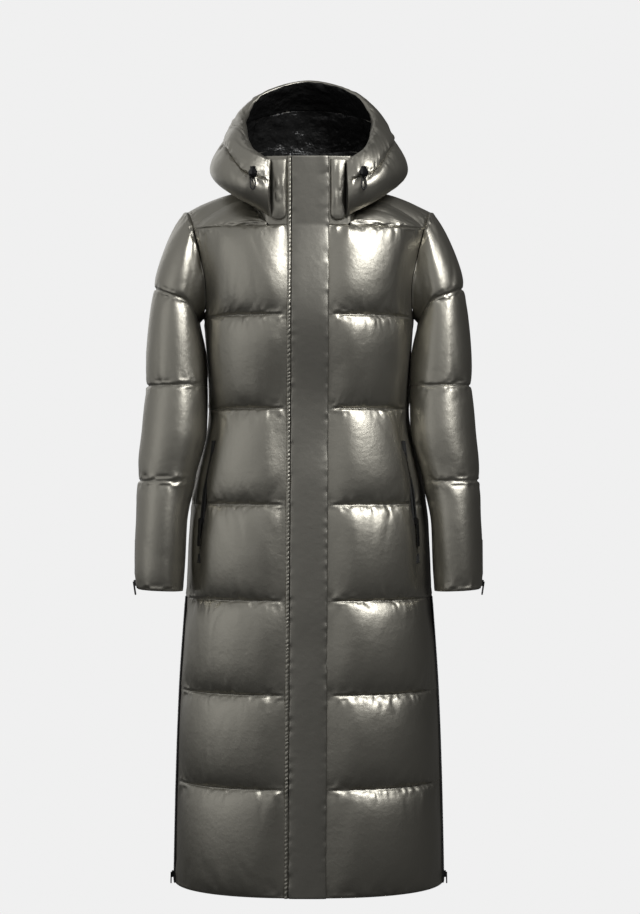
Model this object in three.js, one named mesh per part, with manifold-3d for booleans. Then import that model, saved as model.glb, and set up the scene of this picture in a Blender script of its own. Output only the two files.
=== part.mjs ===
// Long hooded puffer coat in its worn shape, hollow inside. Millimetres, +Z up, front faces -Y.
// The origin lies between the shoulders. "right" and "left" are the wearer's, so left is +X.

import * as THREE from 'three';
import { mergeVertices } from 'three/addons/utils/BufferGeometryUtils.js';
import Module from 'manifold-3d';

const wasm = await Module();
wasm.setup();

// Driving sizes
const CLOTH = 3;
const SEAM_GAP = 0.34;
const HOOD_GAP = 0.5;
const ARMHOLE_GAP = 0.6;
const UNDERARM_SHIFT = 1;
const TORSO_CENTRE_Y = 22;
const RING_POWER = 2 / 2.4;
const YOKE_SEAM_HEIGHT = -48;
const UNDERARM_HEIGHT = -205;
const HEM_HEIGHT = -1215;
const COLLAR_TOP_FRONT = 72;
const COLLAR_TOP_BACK = 104;
const COLLAR_THICKNESS = 4;
const COLLAR_LEAN = 6;
const ZIP_HALF_WIDTH = 4.5;
const BODY_PUFF = 17;
const SLEEVE_PUFF = 8;
const CAP_PUFF = 15;
const YOKE_PUFF = 9;
const HOOD_PUFF = 9;
const PLACKET = { half_width: 32.5, thickness: 3, lift: 0.7, piping_width: 8, piping_thickness: 4 };
const BAFFLE_STEPS = [0, 0.14, 0.5, 0.86];
const POCKET = { top: -424, bottom: -640, slider: -566 };
const VENT = { top: -703, slider: -1200 };
const CUFF = { top: -600, bottom: -686, slider: -676 };
const CUFF_ZIP_REACH = 0.45;
const CUFF_TURN = 0.25;
const VENT_REACH = 0.4;
const ZIP = { lift: 0.7, thickness: 1.6 };
const FRONT_ZIP = { lift: -2.4, thickness: 2 };
const TOUCH = 0.32;
const SLIDER = { width: 7, height: 11, thickness: 3.4 };
const PULLS = {
  pocket: { length: 48, width: 6, thickness: 1.8, rise: 3 },
  vent: { length: 20, width: 6, thickness: 1.8, rise: 3 },
  cuff: { length: 24, width: 6, thickness: 1.8, rise: 3 },
};
const TAB = { inner: 38.5, outer: 66, bottom: -39, top: 66, thickness: 3, puff: 2.5, lift: 0.7 };
const PATCH = { bottom: -204, top: -166, reach: 0.38, thickness: 1.4 };
const SLEEVE_SIDES = 16;
const WELD = 1e-3;

// Shape factors. The torso's outward direction at a point starts from a foot inside the coat.
const PUFF_POWER = 0.6;
const OUTWARD_FOOT = { across: 0.6, y: 10, highest: -90 };
const ARMHOLE_BEND = { across: 2, back_share: 0.12, up: 14 };
const YOKE_BOW = 0.16;
const YOKE_FULL_WIDTH = 70;
const COLLAR_PUFF = 4;
const COLLAR_CENTRE_Y = -14;
const SLEEVE_ROUNDNESS = 0.92;
const CAP_FULL_LENGTH = 110;
const INNER_PUFF_SHARE = 0.2;
const CAP_DOWN = { across: 0.45, y: -0.05, down: -0.9 };
const CAP_FOLLOWS_BODY = 0.85;

// Bending points of the neck seam's curves: to the front corner and to the centre back
const NECK_BENDS = {
  front_side: [99, -42, 16],
  front_corner: { x: 89, behind: 22, height: -22 },
  back_side: [92, 44, 36],
  back_middle_x: 45,
};

// Torso rings at the quilting seams: half width, reach to the front and back of the middle, and the
// share of the side puff that is left under the arm
const TORSO = [
  { height: -1215, half_width: 243, front: 186, back: 132, side_puff: 0.30 },
  { height: -1029, half_width: 239, front: 182, back: 130, side_puff: 0.30 },
  { height: -866, half_width: 233, front: 178, back: 128, side_puff: 0.30 },
  { height: -703, half_width: 222, front: 172, back: 123, side_puff: 0.30 },
  { height: -536, half_width: 212, front: 165, back: 114, side_puff: 0.25 },
  { height: -368, half_width: 181, front: 154, back: 90, side_puff: 0.12 },
  { height: -200, half_width: 190, front: 170, back: 106, side_puff: 0.12 },
  { height: -48, half_width: 222, front: 150, back: 90, side_puff: 0.5 },
];
const TORSO_SEAMS = TORSO.map((row) => row.height);

// Where the torso ring stops at the side: the side seam below the underarm, the armhole above it
const SIDE_SEAM_ANGLE = 80;
const SIDE_EDGE = [
  { height: UNDERARM_HEIGHT, front_angle: SIDE_SEAM_ANGLE, back_angle: SIDE_SEAM_ANGLE },
  { height: -180, front_angle: 70, back_angle: 104 },
  { height: -127, front_angle: 64, back_angle: 120 },
  { height: -88, front_angle: 64, back_angle: 124 },
  { height: YOKE_SEAM_HEIGHT, front_angle: 65, back_angle: 122 },
];
const SHOULDER_POINT = new THREE.Vector3(219, 8, -11);
const NECK_SIDE = new THREE.Vector3(98, -5, 28);
const NECK_BACK = new THREE.Vector3(0, 78, 34);
const NECK_FRONT_HEIGHT = -43;

// Sleeve rings: centre, half width across, half depth, how much higher the outer side is, and how
// far the seam drops under the arm
const SLEEVE = [
  { seam: 1, x: 235, y: -6, height: -168, across: 39, deep: 70, outer_rise: 16, inner_drop: 28 },
  { seam: 2, x: 233.5, y: -28, height: -326, across: 52.5, deep: 62, outer_rise: 0, inner_drop: 0 },
  { seam: 2.45, x: 236, y: -36, height: -400, across: 53, deep: 62, outer_rise: 0, inner_drop: 0 },
  { seam: 3, x: 251, y: -46, height: -495, across: 48.5, deep: 58, outer_rise: 0, inner_drop: 0 },
  { seam: 3.4, x: 257, y: -54, height: -572, across: 41, deep: 55, outer_rise: 0, inner_drop: 0 },
  { seam: 4, x: 263, y: -62, height: -688, across: 40, deep: 50, outer_rise: 2, inner_drop: 0 },
];

// Hood sections from the front edge round to the centre back, each up from the neck seam
const HOOD = [
  {
    seam: [70, -131.3, -34], low: [70, -147, -12], belly: [69, -152, 10],
    channel: [68, -149, 26], rim: [67, -135, 64],
  },
  {
    seam: [88, -107, -14], low: [110, -130, -2], belly: [112, -143, 22],
    channel: [110, -140, 42], rim: [98, -115, 88],
  },
  {
    seam: [99.5, -59, 17], low: [140, -80, 20], belly: [158, -86, 45],
    channel: [142, -88, 86], rim: [112, -40, 134],
  },
  {
    seam: [102.5, -3, 42], low: [146, 8, 42], belly: [168, 14, 64],
    channel: [150, 0, 118], rim: [113, 18, 168],
  },
  {
    seam: [67, 58, 48], low: [118, 104, 44], belly: [140, 126, 86],
    channel: [121, 85, 165], rim: [89, 60, 212],
  },
  {
    seam: [0, 80, 50], low: [0, 138, 46], belly: [0, 176, 100],
    channel: [0, 148, 198], rim: [0, 95, 243],
  },
];
const HOOD_CURVES = ['seam', 'low', 'belly', 'channel', 'rim'];
const HOOD_CENTRE_SECTION = 4.25;
const HOOD_LAST = HOOD.length - 1;
const CHANNEL_CURVE = 3;

// Drawcord lock and the short loop that hangs out of it
const CORD_CLEARANCE = 0.1;
const LOCK = {
  radius: 8.5, section: 0.62, stand_off: 11.6, socket_radius: 5.4, socket_depth: 10,
  button_radius: 5, button_length: 5, button_rise: 8.6,
};
const CORD = {
  radius: 1.5,
  sides: 8,
  loop: [
    { across: -2.2, forward: -1, down: 0 }, { across: -4, forward: -3.2, down: -9 },
    { across: -3.6, forward: -4, down: -16 }, { across: 0, forward: -4.2, down: -20 },
    { across: 3.6, forward: -4, down: -16 }, { across: 4, forward: -3.2, down: -9 },
    { across: 2.2, forward: -1, down: 0 },
  ],
};

const COLOURS = {
  shell: '#6f6d63',
  placket: '#75736a',
  trim: '#4a4944',
  tape: '#1c1c1c',
  metal: '#2a2a2c',
  cord: '#151515',
};

const group = new THREE.Group();

function addPart(name, geometry, colour) {
  const material = new THREE.MeshStandardMaterial({ color: colour, metalness: 0.4, roughness: 0.4 });
  const mesh = new THREE.Mesh(geometry, material);
  mesh.name = name;
  group.add(mesh);
}

// Maths

const lerp = (a, b, t) => a + (b - a) * t;
const radians = THREE.MathUtils.degToRad;
const vec = (x, y, z) => new THREE.Vector3(x, y, z);
const mirror = (point, side) => vec(point.x * side, point.y, point.z);

function smooth(low, high, value) {
  const t = Math.min(1, Math.max(0, (value - low) / (high - low)));
  return t * t * (3 - 2 * t);
}

// Smooth curve through a table's rows: a cubic whose slope at a row is the mean of its two sides,
// or zero where the sides turn back
function read(table, key, column, at) {
  const last = table.length - 1;
  const clamped = Math.min(table[last][key], Math.max(table[0][key], at));
  let i = 0;
  while (i < last - 1 && clamped > table[i + 1][key]) i += 1;
  const slope = (k) => (table[k + 1][column] - table[k][column]) / (table[k + 1][key] - table[k][key]);
  const tangent = (k) => {
    if (k === 0) return slope(0);
    if (k === last) return slope(last - 1);
    const [before, after] = [slope(k - 1), slope(k)];
    return before * after <= 0 ? 0 : 2 * before * after / (before + after);
  };
  const span = table[i + 1][key] - table[i][key];
  const t = (clamped - table[i][key]) / span;
  const h = [2 * t ** 3 - 3 * t ** 2 + 1, t ** 3 - 2 * t ** 2 + t, -2 * t ** 3 + 3 * t ** 2, t ** 3 - t ** 2];
  return h[0] * table[i][column] + h[1] * span * tangent(i) + h[2] * table[i + 1][column]
    + h[3] * span * tangent(i + 1);
}

// A closed wall between two grids of points, outer[row][column] and inner[row][column]. A tube
// joins its last column to its first.
function wall(outer, inner, isTube = false) {
  const rows = outer.length;
  const columns = outer[0].length;
  const points = [];
  const faces = [];
  for (const grid of [outer, inner]) {
    for (const line of grid) for (const point of line) points.push(point);
  }
  const at = (layer, row, column) => layer * rows * columns + row * columns + (column % columns);
  const quad = (a, b, c, d) => faces.push(a, b, c, a, c, d);
  const across = isTube ? columns : columns - 1;
  const end = columns - 1;
  for (let r = 0; r < rows - 1; r += 1) {
    for (let c = 0; c < across; c += 1) {
      quad(at(0, r, c), at(0, r, c + 1), at(0, r + 1, c + 1), at(0, r + 1, c));
      quad(at(1, r, c), at(1, r + 1, c), at(1, r + 1, c + 1), at(1, r, c + 1));
    }
  }
  for (let c = 0; c < across; c += 1) {
    quad(at(0, 0, c + 1), at(0, 0, c), at(1, 0, c), at(1, 0, c + 1));
    quad(at(0, rows - 1, c), at(0, rows - 1, c + 1), at(1, rows - 1, c + 1), at(1, rows - 1, c));
  }
  if (!isTube) {
    for (let r = 0; r < rows - 1; r += 1) {
      quad(at(0, r, 0), at(0, r + 1, 0), at(1, r + 1, 0), at(1, r, 0));
      quad(at(0, r + 1, end), at(0, r, end), at(1, r, end), at(1, r + 1, end));
    }
  }
  return outwardMesh(points, faces);
}

// Turns the faces round where the volume comes out negative
function outwardMesh(points, faces) {
  let volume = 0;
  for (let i = 0; i < faces.length; i += 3) {
    const [a, b, c] = [points[faces[i]], points[faces[i + 1]], points[faces[i + 2]]];
    volume += a.dot(b.clone().cross(c));
  }
  if (volume < 0) {
    faces.reverse();
  }
  const geometry = new THREE.BufferGeometry();
  const values = points.flatMap((point) => point.toArray());
  geometry.setAttribute('position', new THREE.Float32BufferAttribute(values, 3));
  geometry.setIndex(faces);
  return geometry;
}

// Moves the border points of a grid inwards by half the seam gap
function inset(grid, edges, distance = SEAM_GAP / 2) {
  const rows = grid.length;
  const columns = grid[0].length;
  const moved = grid.map((line) => line.map((point) => point.clone()));
  const pull = (r, c, towardR, towardC) => {
    const step = grid[towardR][towardC].clone().sub(grid[r][c]).normalize();
    moved[r][c].addScaledVector(step, distance);
  };
  for (let c = 0; c < columns; c += 1) {
    if (edges.includes('first_row')) pull(0, c, 1, c);
    if (edges.includes('last_row')) pull(rows - 1, c, rows - 2, c);
  }
  for (let r = 0; r < rows; r += 1) {
    if (edges.includes('first_column')) pull(r, 0, r, 1);
    if (edges.includes('last_column')) pull(r, columns - 1, r, columns - 2);
  }
  return moved;
}

const shifted = (grid, outward, distance) => grid.map((line, r) => line.map(
  (point, c) => point.clone().addScaledVector(outward(point, r, c), distance(r, c)),
));

// Height of the filling across one baffle: steep by the seams and broad in the middle
const puffProfile = (t) => (4 * t * (1 - t)) ** PUFF_POWER;

// Torso

// The placket runs a little off the upright, up to the neck
const placketCentre = (height) => lerp(
  -2, 3.5, (Math.min(height, YOKE_SEAM_HEIGHT) - HEM_HEIGHT) / (YOKE_SEAM_HEIGHT - HEM_HEIGHT),
);

// Direction out of the torso at a point: level below the chest, turning up over the shoulders
function torsoOutward(point) {
  const foot = vec(point.x * OUTWARD_FOOT.across, OUTWARD_FOOT.y, Math.min(point.z, OUTWARD_FOOT.highest));
  return point.clone().sub(foot).normalize();
}

function torsoPoint(angle, height) {
  const width = read(TORSO, 'height', 'half_width', height);
  const isFront = Math.cos(angle) > 0;
  const depth = read(TORSO, 'height', isFront ? 'front' : 'back', height);
  const x = width * Math.sign(Math.sin(angle)) * Math.abs(Math.sin(angle)) ** RING_POWER;
  const y = -depth * Math.sign(Math.cos(angle)) * Math.abs(Math.cos(angle)) ** RING_POWER;
  return vec(x, y + TORSO_CENTRE_Y, height);
}

// Angle at which a front or back ends: front_angle or back_angle
function sideAngle(column, height) {
  if (height <= UNDERARM_HEIGHT) return radians(SIDE_SEAM_ANGLE);
  return radians(read(SIDE_EDGE, 'height', column, height));
}

function angleAtX(x, height) {
  const width = read(TORSO, 'height', 'half_width', height);
  return Math.asin((Math.abs(x) / width) ** (1 / RING_POWER)) * Math.sign(x);
}

// Rows of a torso panel, from the hem up to the yoke seam, with their place in the baffle
function torsoRows() {
  const rows = [];
  for (let k = 0; k < TORSO_SEAMS.length - 1; k += 1) {
    for (const t of BAFFLE_STEPS) {
      rows.push({ height: lerp(TORSO_SEAMS[k], TORSO_SEAMS[k + 1], t), t });
    }
  }
  rows.push({ height: YOKE_SEAM_HEIGHT, t: 0 });
  const chestSeam = rows.length - 1 - BAFFLE_STEPS.length;
  rows[chestSeam].height = UNDERARM_HEIGHT;
  return rows;
}
const ROWS = torsoRows();

// Columns of a front, as shares of the way from the placket's edge to the side
const FRONT_SHARES = [0, 0.14, 0.36, 0.57, 0.66, 0.72, 0.95, 1];
const FRONT_PUFF = [0, 0.86, 1, 0.96, 0.86, 0.78, 0, 0];
const POCKET_COLUMN = 5;
const POCKET_PUFF = 0.8;
const POCKET_MARGIN = 12;
const SIDE_FADE_START = 0.55;
const FRONT_FLAT = { right: 43, left: 36 };

function frontPanel(side) {
  const reach = side < 0 ? FRONT_FLAT.right : FRONT_FLAT.left;
  const grid = [];
  const puffs = [];
  for (const row of ROWS) {
    const middle = placketCentre(row.height);
    const edge = side * sideAngle('front_angle', row.height);
    const flat = angleAtX(middle + side * reach, row.height);
    const line = [torsoPoint(angleAtX(middle + side * ZIP_HALF_WIDTH, row.height), row.height)];
    const puff = [0];
    const sidePuff = read(TORSO, 'height', 'side_puff', row.height);
    FRONT_SHARES.forEach((share, c) => {
      line.push(torsoPoint(lerp(flat, edge, share), row.height));
      const fade = lerp(1, sidePuff, smooth(SIDE_FADE_START, 1, share));
      puff.push(BODY_PUFF * puffProfile(row.t) * FRONT_PUFF[c] * fade);
    });
    const isPocket = row.height > POCKET.bottom - POCKET_MARGIN && row.height < POCKET.top + POCKET_MARGIN;
    if (isPocket) puff.fill(Math.min(puff[POCKET_COLUMN], POCKET_PUFF), POCKET_COLUMN, POCKET_COLUMN + 2);
    grid.push(line);
    puffs.push(puff);
  }
  return { grid, puffs };
}

// Columns of the back, as shares of the way between the side seams
const BACK_SHARES = [0, 0.03, 0.12, 0.23, 0.35, 0.5, 0.65, 0.77, 0.88, 0.97, 1];
const BACK_PUFF = [0, 0, 0.7, 0.95, 1, 1, 1, 0.95, 0.7, 0, 0];
const BACK_FADE_WIDTH = 0.3;

function backPanel() {
  const grid = [];
  const puffs = [];
  for (const row of ROWS) {
    const edge = sideAngle('back_angle', row.height);
    const sidePuff = read(TORSO, 'height', 'side_puff', row.height);
    grid.push(BACK_SHARES.map((share) => torsoPoint(lerp(edge, 2 * Math.PI - edge, share), row.height)));
    puffs.push(BACK_SHARES.map((share, c) => {
      const fade = lerp(sidePuff, 1, smooth(0, BACK_FADE_WIDTH, Math.min(share, 1 - share)));
      return BODY_PUFF * puffProfile(row.t) * BACK_PUFF[c] * fade;
    }));
  }
  return { grid, puffs };
}

function torsoWall(panel, edges, outward = torsoOutward, thickness = CLOTH) {
  const base = inset(panel.grid, edges);
  const outer = shifted(base, outward, (r, c) => panel.puffs[r][c]);
  const inner = shifted(base, outward, () => -thickness);
  return wall(outer, inner);
}

// Armhole and yokes

const UNDERARM_ROW = ROWS.findIndex((row) => row.height === UNDERARM_HEIGHT);
const YOKE_STEPS = 4;

// Points of the armhole between the yoke seam and the shoulder point
function yokeArmhole(corner, side) {
  const top = mirror(SHOULDER_POINT, side);
  const control = corner.clone().lerp(top, 0.5).add(vec(side * ARMHOLE_BEND.across, 0, ARMHOLE_BEND.up));
  control.y += (corner.y - top.y) * ARMHOLE_BEND.back_share;
  const curve = new THREE.QuadraticBezierCurve3(corner, control, top);
  return Array.from({ length: YOKE_STEPS + 1 }, (_, i) => curve.getPoint(i / YOKE_STEPS));
}

// The 16 points of one armhole, from the underarm up the front, over the shoulder and down the back
function armhole(front, back, side) {
  const frontEdge = front.grid.map((line) => line[line.length - 1]);
  const backEdge = back.grid.map((line) => line[side > 0 ? 0 : line.length - 1]);
  const frontYoke = yokeArmhole(frontEdge[frontEdge.length - 1], side);
  const backYoke = yokeArmhole(backEdge[backEdge.length - 1], side).reverse();
  return {
    frontYoke,
    backYoke,
    loop: [
      ...frontEdge.slice(UNDERARM_ROW, -1), ...frontYoke,
      ...backYoke.slice(1), ...backEdge.slice(UNDERARM_ROW + 1, -1).reverse(),
    ],
  };
}

// Neck seam: from its front corner round the side to the centre back
function neckCurve(corner, side) {
  const { front_side: frontSide, front_corner: bend, back_side: backSide } = NECK_BENDS;
  const start = mirror(NECK_SIDE, side);
  const beforeCorner = vec(side * bend.x, corner.y + bend.behind, bend.height);
  const beforeBack = vec(side * NECK_BENDS.back_middle_x, NECK_BACK.y, NECK_BACK.z);
  return {
    front: new THREE.CubicBezierCurve3(start, mirror(vec(...frontSide), side), beforeCorner, corner),
    back: new THREE.CubicBezierCurve3(start, mirror(vec(...backSide), side), beforeBack, NECK_BACK),
  };
}

const NECK_COLUMN = 2;

function frontYoke(front, arm, side) {
  const topRow = front.grid[front.grid.length - 1];
  const corner = topRow[NECK_COLUMN].clone();
  corner.z = NECK_FRONT_HEIGHT;
  const neck = neckCurve(corner, side).front;
  const outerPath = [...arm.frontYoke.slice(1).reverse(), ...topRow.slice(NECK_COLUMN).reverse()];
  return yokePatch(outerPath, (share) => neck.getPoint(share));
}

function backYoke(back, arms) {
  const topRow = back.grid[back.grid.length - 1];
  const outerPath = [
    ...arms.left.backYoke.slice(0, -1), ...topRow, ...arms.right.backYoke.slice(0, -1).reverse(),
  ];
  const left = neckCurve(vec(0, 0, 0), 1).back;
  const right = neckCurve(vec(0, 0, 0), -1).back;
  const neckAt = (share) => (share < 0.5 ? left.getPoint(share * 2) : right.getPoint(2 - share * 2));
  return yokePatch(outerPath, neckAt);
}

// Rows from the outer path (armhole and yoke seam) up to the neck seam, bowed a little outwards
function yokePatch(outerPath, neckAt) {
  const grid = [];
  const puffs = [];
  const last = outerPath.length - 1;
  for (let r = 0; r <= YOKE_STEPS; r += 1) {
    const t = r / YOKE_STEPS;
    grid.push(outerPath.map((start, c) => {
      const end = neckAt(c / last);
      const point = start.clone().lerp(end, t);
      const bow = YOKE_BOW * start.distanceTo(end) * t * (1 - t);
      return point.addScaledVector(torsoOutward(point), bow);
    }));
    puffs.push(outerPath.map((start, c) => {
      const reach = Math.min(1, start.distanceTo(neckAt(c / last)) / YOKE_FULL_WIDTH);
      const fromEnd = Math.min(c, last - c) / (2 * YOKE_STEPS);
      return YOKE_PUFF * puffProfile(t) * reach * puffProfile(Math.min(0.5, fromEnd));
    }));
  }
  return { grid, puffs };
}

// Collar

function collarOutward(point) {
  return vec(point.x, point.y - COLLAR_CENTRE_Y, 0).normalize();
}

function collarGrid(neckLine) {
  const rows = [0, 0.12, 0.5, 0.88, 1];
  const grid = rows.map((t) => neckLine.map((foot) => {
    const around = smooth(-125, -60, foot.y);
    const top = lerp(COLLAR_TOP_FRONT, COLLAR_TOP_BACK, smooth(-110, 60, foot.y));
    const start = foot.clone();
    start.z += SEAM_GAP;
    const end = vec(foot.x, foot.y, top).addScaledVector(collarOutward(foot), -COLLAR_LEAN * around);
    return start.lerp(end, t);
  }));
  const puffs = rows.map((t) => neckLine.map(
    (foot) => COLLAR_PUFF * puffProfile(t) * smooth(TAB.outer + 4, NECK_SIDE.x, Math.abs(foot.x)),
  ));
  return { grid, puffs };
}

// Sleeves

// A sleeve ring point: the angle runs from the underarm (180) by the front to the outer side (0)
function sleeveRing(at, index) {
  const angle = radians(180 - (360 / SLEEVE_SIDES) * index);
  const get = (column) => read(SLEEVE, 'seam', column, at);
  const [c, s] = [Math.cos(angle), Math.sin(angle)];
  const bend = (value) => Math.sign(value) * Math.abs(value) ** SLEEVE_ROUNDNESS;
  return vec(
    get('x') + get('across') * bend(c),
    get('y') - get('deep') * bend(s),
    get('height') + get('outer_rise') * c - get('inner_drop') * Math.max(0, -c) ** 3,
  );
}

function sleevePanel(loop, side) {
  const centre = vec(0, 0, 0);
  loop.forEach((point) => centre.add(point));
  centre.divideScalar(loop.length);
  const grid = [];
  const puffs = [];
  const outward = [];
  for (let k = 0; k < 4; k += 1) {
    const steps = k === 3 ? [...BAFFLE_STEPS, 1] : BAFFLE_STEPS;
    for (const t of steps) {
      const at = k + t;
      const ring = loop.map((start, i) => {
        if (k > 0) return mirror(sleeveRing(at, i), side);
        return start.clone().lerp(mirror(sleeveRing(1, i), side), t);
      });
      const middle = k > 0
        ? mirror(vec(read(SLEEVE, 'seam', 'x', at), read(SLEEVE, 'seam', 'y', at), 0), side)
        : centre.clone().lerp(vec(side * SLEEVE[0].x, SLEEVE[0].y, SLEEVE[0].height), t);
      if (at === 0) ring.forEach((point) => { point.x += side * UNDERARM_SHIFT; });
      grid.push(ring);
      outward.push(ring.map((point, i) => sleeveOutward(point, middle, k + t, i, side)));
      puffs.push(ring.map((point, i) => {
        const inward = -Math.cos(radians(180 - (360 / SLEEVE_SIDES) * i));
        const reach = loop[i].distanceTo(mirror(sleeveRing(1, i), side)) / CAP_FULL_LENGTH;
        const length = k > 0 ? 1 : Math.min(1, reach);
        const fade = lerp(1, INNER_PUFF_SHARE, smooth(0.2, 0.9, inward));
        const full = k > 0 ? SLEEVE_PUFF : CAP_PUFF;
        return full * puffProfile(t === 1 ? 0 : t) * length * fade;
      }));
    }
  }
  return { grid, puffs, outward };
}

// Out of the sleeve at a point; at the armhole it follows the torso where the two run alike
function sleeveOutward(point, middle, at, index, side) {
  const around = point.clone().sub(middle);
  if (at >= 1) return vec(around.x, around.y, 0).normalize();
  const down = vec(side * CAP_DOWN.across, CAP_DOWN.y, CAP_DOWN.down).normalize();
  around.addScaledVector(down, -around.dot(down)).normalize();
  if (at > 0) return around;
  const body = torsoOutward(point);
  return around.dot(body) > CAP_FOLLOWS_BODY ? body : around;
}

function sleeveWall(panel) {
  const base = inset(panel.grid, ['first_row'], ARMHOLE_GAP);
  const outer = shifted(base, (p, r, c) => panel.outward[r][c], (r, c) => panel.puffs[r][c]);
  const inner = shifted(base, (p, r, c) => panel.outward[r][c], () => -CLOTH);
  return wall(outer, inner, true);
}

// Hood

// A point of the hood: section 0 is the front edge and 5 the centre back; curve 0 is the neck seam
function hoodBase(section, curve) {
  const lines = HOOD_CURVES.map((name) => {
    const points = HOOD.map((row) => vec(...row[name]));
    const mirrored = points.slice(0, -1).reverse().map((point) => mirror(point, -1));
    const whole = new THREE.CatmullRomCurve3([...points, ...mirrored], false, 'centripetal');
    return whole.getPoint(section / (2 * HOOD_LAST));
  });
  return new THREE.CatmullRomCurve3(lines, false, 'centripetal').getPoint(curve / CHANNEL_CURVE * 0.75);
}

const hoodPoint = (section, curve, side) => mirror(hoodBase(section, curve), side);

function hoodOutward(section, curve, side) {
  const step = 0.03;
  const [s0, s1] = [Math.max(0, section - step), Math.min(2 * HOOD_LAST, section + step)];
  const [c0, c1] = [Math.max(0, curve - step), Math.min(4, curve + step)];
  const along = hoodPoint(s1, curve, side).sub(hoodPoint(s0, curve, side));
  const up = hoodPoint(section, c1, side).sub(hoodPoint(section, c0, side));
  const normal = along.cross(up).normalize();
  return side > 0 ? normal : normal.negate();
}

function hoodPanel(sections, curves, side, puff) {
  const grid = curves.map((curve) => sections.map((section) => hoodPoint(section, curve, side)));
  const outward = curves.map((curve) => sections.map((section) => hoodOutward(section, curve, side)));
  const lastS = sections.length - 1;
  const puffs = curves.map((curve, r) => sections.map((section, c) => {
    const along = puffProfile(Math.min(0.5, Math.min(c, lastS - c) / 4));
    return puff * puffProfile(r / (curves.length - 1)) * along;
  }));
  return { grid, outward, puffs };
}

function hoodWall(panel, edges) {
  const base = inset(panel.grid, edges, HOOD_GAP / 2);
  const outer = shifted(base, (p, r, c) => panel.outward[r][c], (r, c) => panel.puffs[r][c]);
  const inner = shifted(base, (p, r, c) => panel.outward[r][c], () => -CLOTH);
  return wall(outer, inner);
}

const range = (from, to, steps) => Array.from({ length: steps + 1 }, (_, i) => lerp(from, to, i / steps));

// Strips laid on a panel: a flat bar whose section spans between two lines of points

function strip(leftLine, rightLine, outward, lift, thickness) {
  const grid = leftLine.map((point, r) => [point, rightLine[r]]);
  const outer = shifted(grid, outward, () => lift + thickness);
  const inner = shifted(grid, outward, () => lift);
  return wall(outer, inner);
}

// Hard pieces

// A flat bar with the given half sizes, turned so that its thin side faces outwards
function block(centre, outward, size, down = vec(0, 0, -1)) {
  const geometry = new THREE.BoxGeometry(size.width, size.height, size.thickness);
  const z = outward.clone().normalize();
  const y = down.clone().negate();
  y.addScaledVector(z, -y.dot(z)).normalize();
  const x = y.clone().cross(z);
  geometry.applyMatrix4(new THREE.Matrix4().makeBasis(x, y, z).setPosition(centre));
  return geometry;
}

// Conversions to and from solids that can be cut
function solidOf(geometry) {
  const bare = new THREE.BufferGeometry();
  bare.setAttribute('position', geometry.toNonIndexed().attributes.position);
  const merged = mergeVertices(bare, WELD);
  return new wasm.Manifold(new wasm.Mesh({
    numProp: 3,
    vertProperties: merged.attributes.position.array,
    triVerts: new Uint32Array(merged.index.array),
  }));
}

function geometryOf(solid) {
  const mesh = solid.getMesh();
  const geometry = new THREE.BufferGeometry();
  geometry.setAttribute('position', new THREE.BufferAttribute(mesh.vertProperties, 3));
  geometry.setIndex(Array.from(mesh.triVerts));
  return geometry;
}

// Round cord along a smooth curve through the points
function cordGeometry(points) {
  const outline = new THREE.Shape();
  for (let i = 0; i < CORD.sides; i += 1) {
    const angle = (2 * Math.PI * i) / CORD.sides;
    const [x, y] = [CORD.radius * Math.cos(angle), CORD.radius * Math.sin(angle)];
    if (i === 0) outline.moveTo(x, y);
    else outline.lineTo(x, y);
  }
  outline.closePath();
  const path = new THREE.CatmullRomCurve3(points, false, 'centripetal');
  return new THREE.ExtrudeGeometry(outline, { extrudePath: path, steps: 18, bevelEnabled: false });
}

// A pull tab: a flat tongue with rounded corners and a hole for its ring, hung from its top
function pullTab(pivot, outward, length, width, thickness, down = vec(0, 0, -1)) {
  const shape = new THREE.Shape();
  const half = width / 2;
  const corner = half * 0.8;
  shape.moveTo(-half, 0);
  shape.lineTo(-half, -length + corner);
  shape.quadraticCurveTo(-half, -length, -half + corner, -length);
  shape.lineTo(half - corner, -length);
  shape.quadraticCurveTo(half, -length, half, -length + corner);
  shape.lineTo(half, 0);
  const options = { depth: thickness, bevelEnabled: false, curveSegments: 3 };
  const geometry = new THREE.ExtrudeGeometry(shape, options);
  geometry.translate(0, 0, -thickness / 2);
  const z = outward.clone().normalize();
  const y = down.clone().negate();
  y.addScaledVector(z, -y.dot(z)).normalize();
  geometry.applyMatrix4(new THREE.Matrix4().makeBasis(y.clone().cross(z), y, z).setPosition(pivot));
  return geometry;
}

// The outer face of a panel, as the same grid of points that its wall has
function outerFace(panel) {
  const outward = (p, r, c) => (panel.outward ? panel.outward[r][c] : torsoOutward(p));
  return shifted(panel.grid, outward, (r, c) => panel.puffs[r][c]);
}

// Point of a line of points (one column of a panel) at a height, on its straight pieces
function atHeight(line, height) {
  const upward = line[0].z < line[line.length - 1].z ? line : line.slice().reverse();
  let i = 0;
  while (i < upward.length - 2 && upward[i + 1].z < height) i += 1;
  const [a, b] = [upward[i], upward[i + 1]];
  return a.clone().lerp(b, (height - a.z) / (b.z - a.z));
}

const columnOf = (grid, c) => grid.map((line) => line[c]);
const between = (a, b, t) => a.map((point, i) => point.clone().lerp(b[i], t));

// Lines cut to a stretch of heights, keeping the rows inside it
function cutLines(lines, bottom, top) {
  const all = lines[0].map((point) => point.z);
  const inside = all.filter((z) => z > bottom + 1 && z < top - 1).sort((a, b) => a - b);
  const heights = [bottom, ...inside, top];
  return heights.map((height) => lines.map((line) => atHeight(line, height)));
}

// Normal of the face between two lines at a height, on the side that outward points to
function faceNormal(lines, height, outward) {
  const up = atHeight(lines[0], height + 4).sub(atHeight(lines[0], height - 4));
  const across = atHeight(lines[lines.length - 1], height).sub(atHeight(lines[0], height));
  const normal = up.cross(across).normalize();
  return normal.dot(outward) < 0 ? normal.negate() : normal;
}

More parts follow.
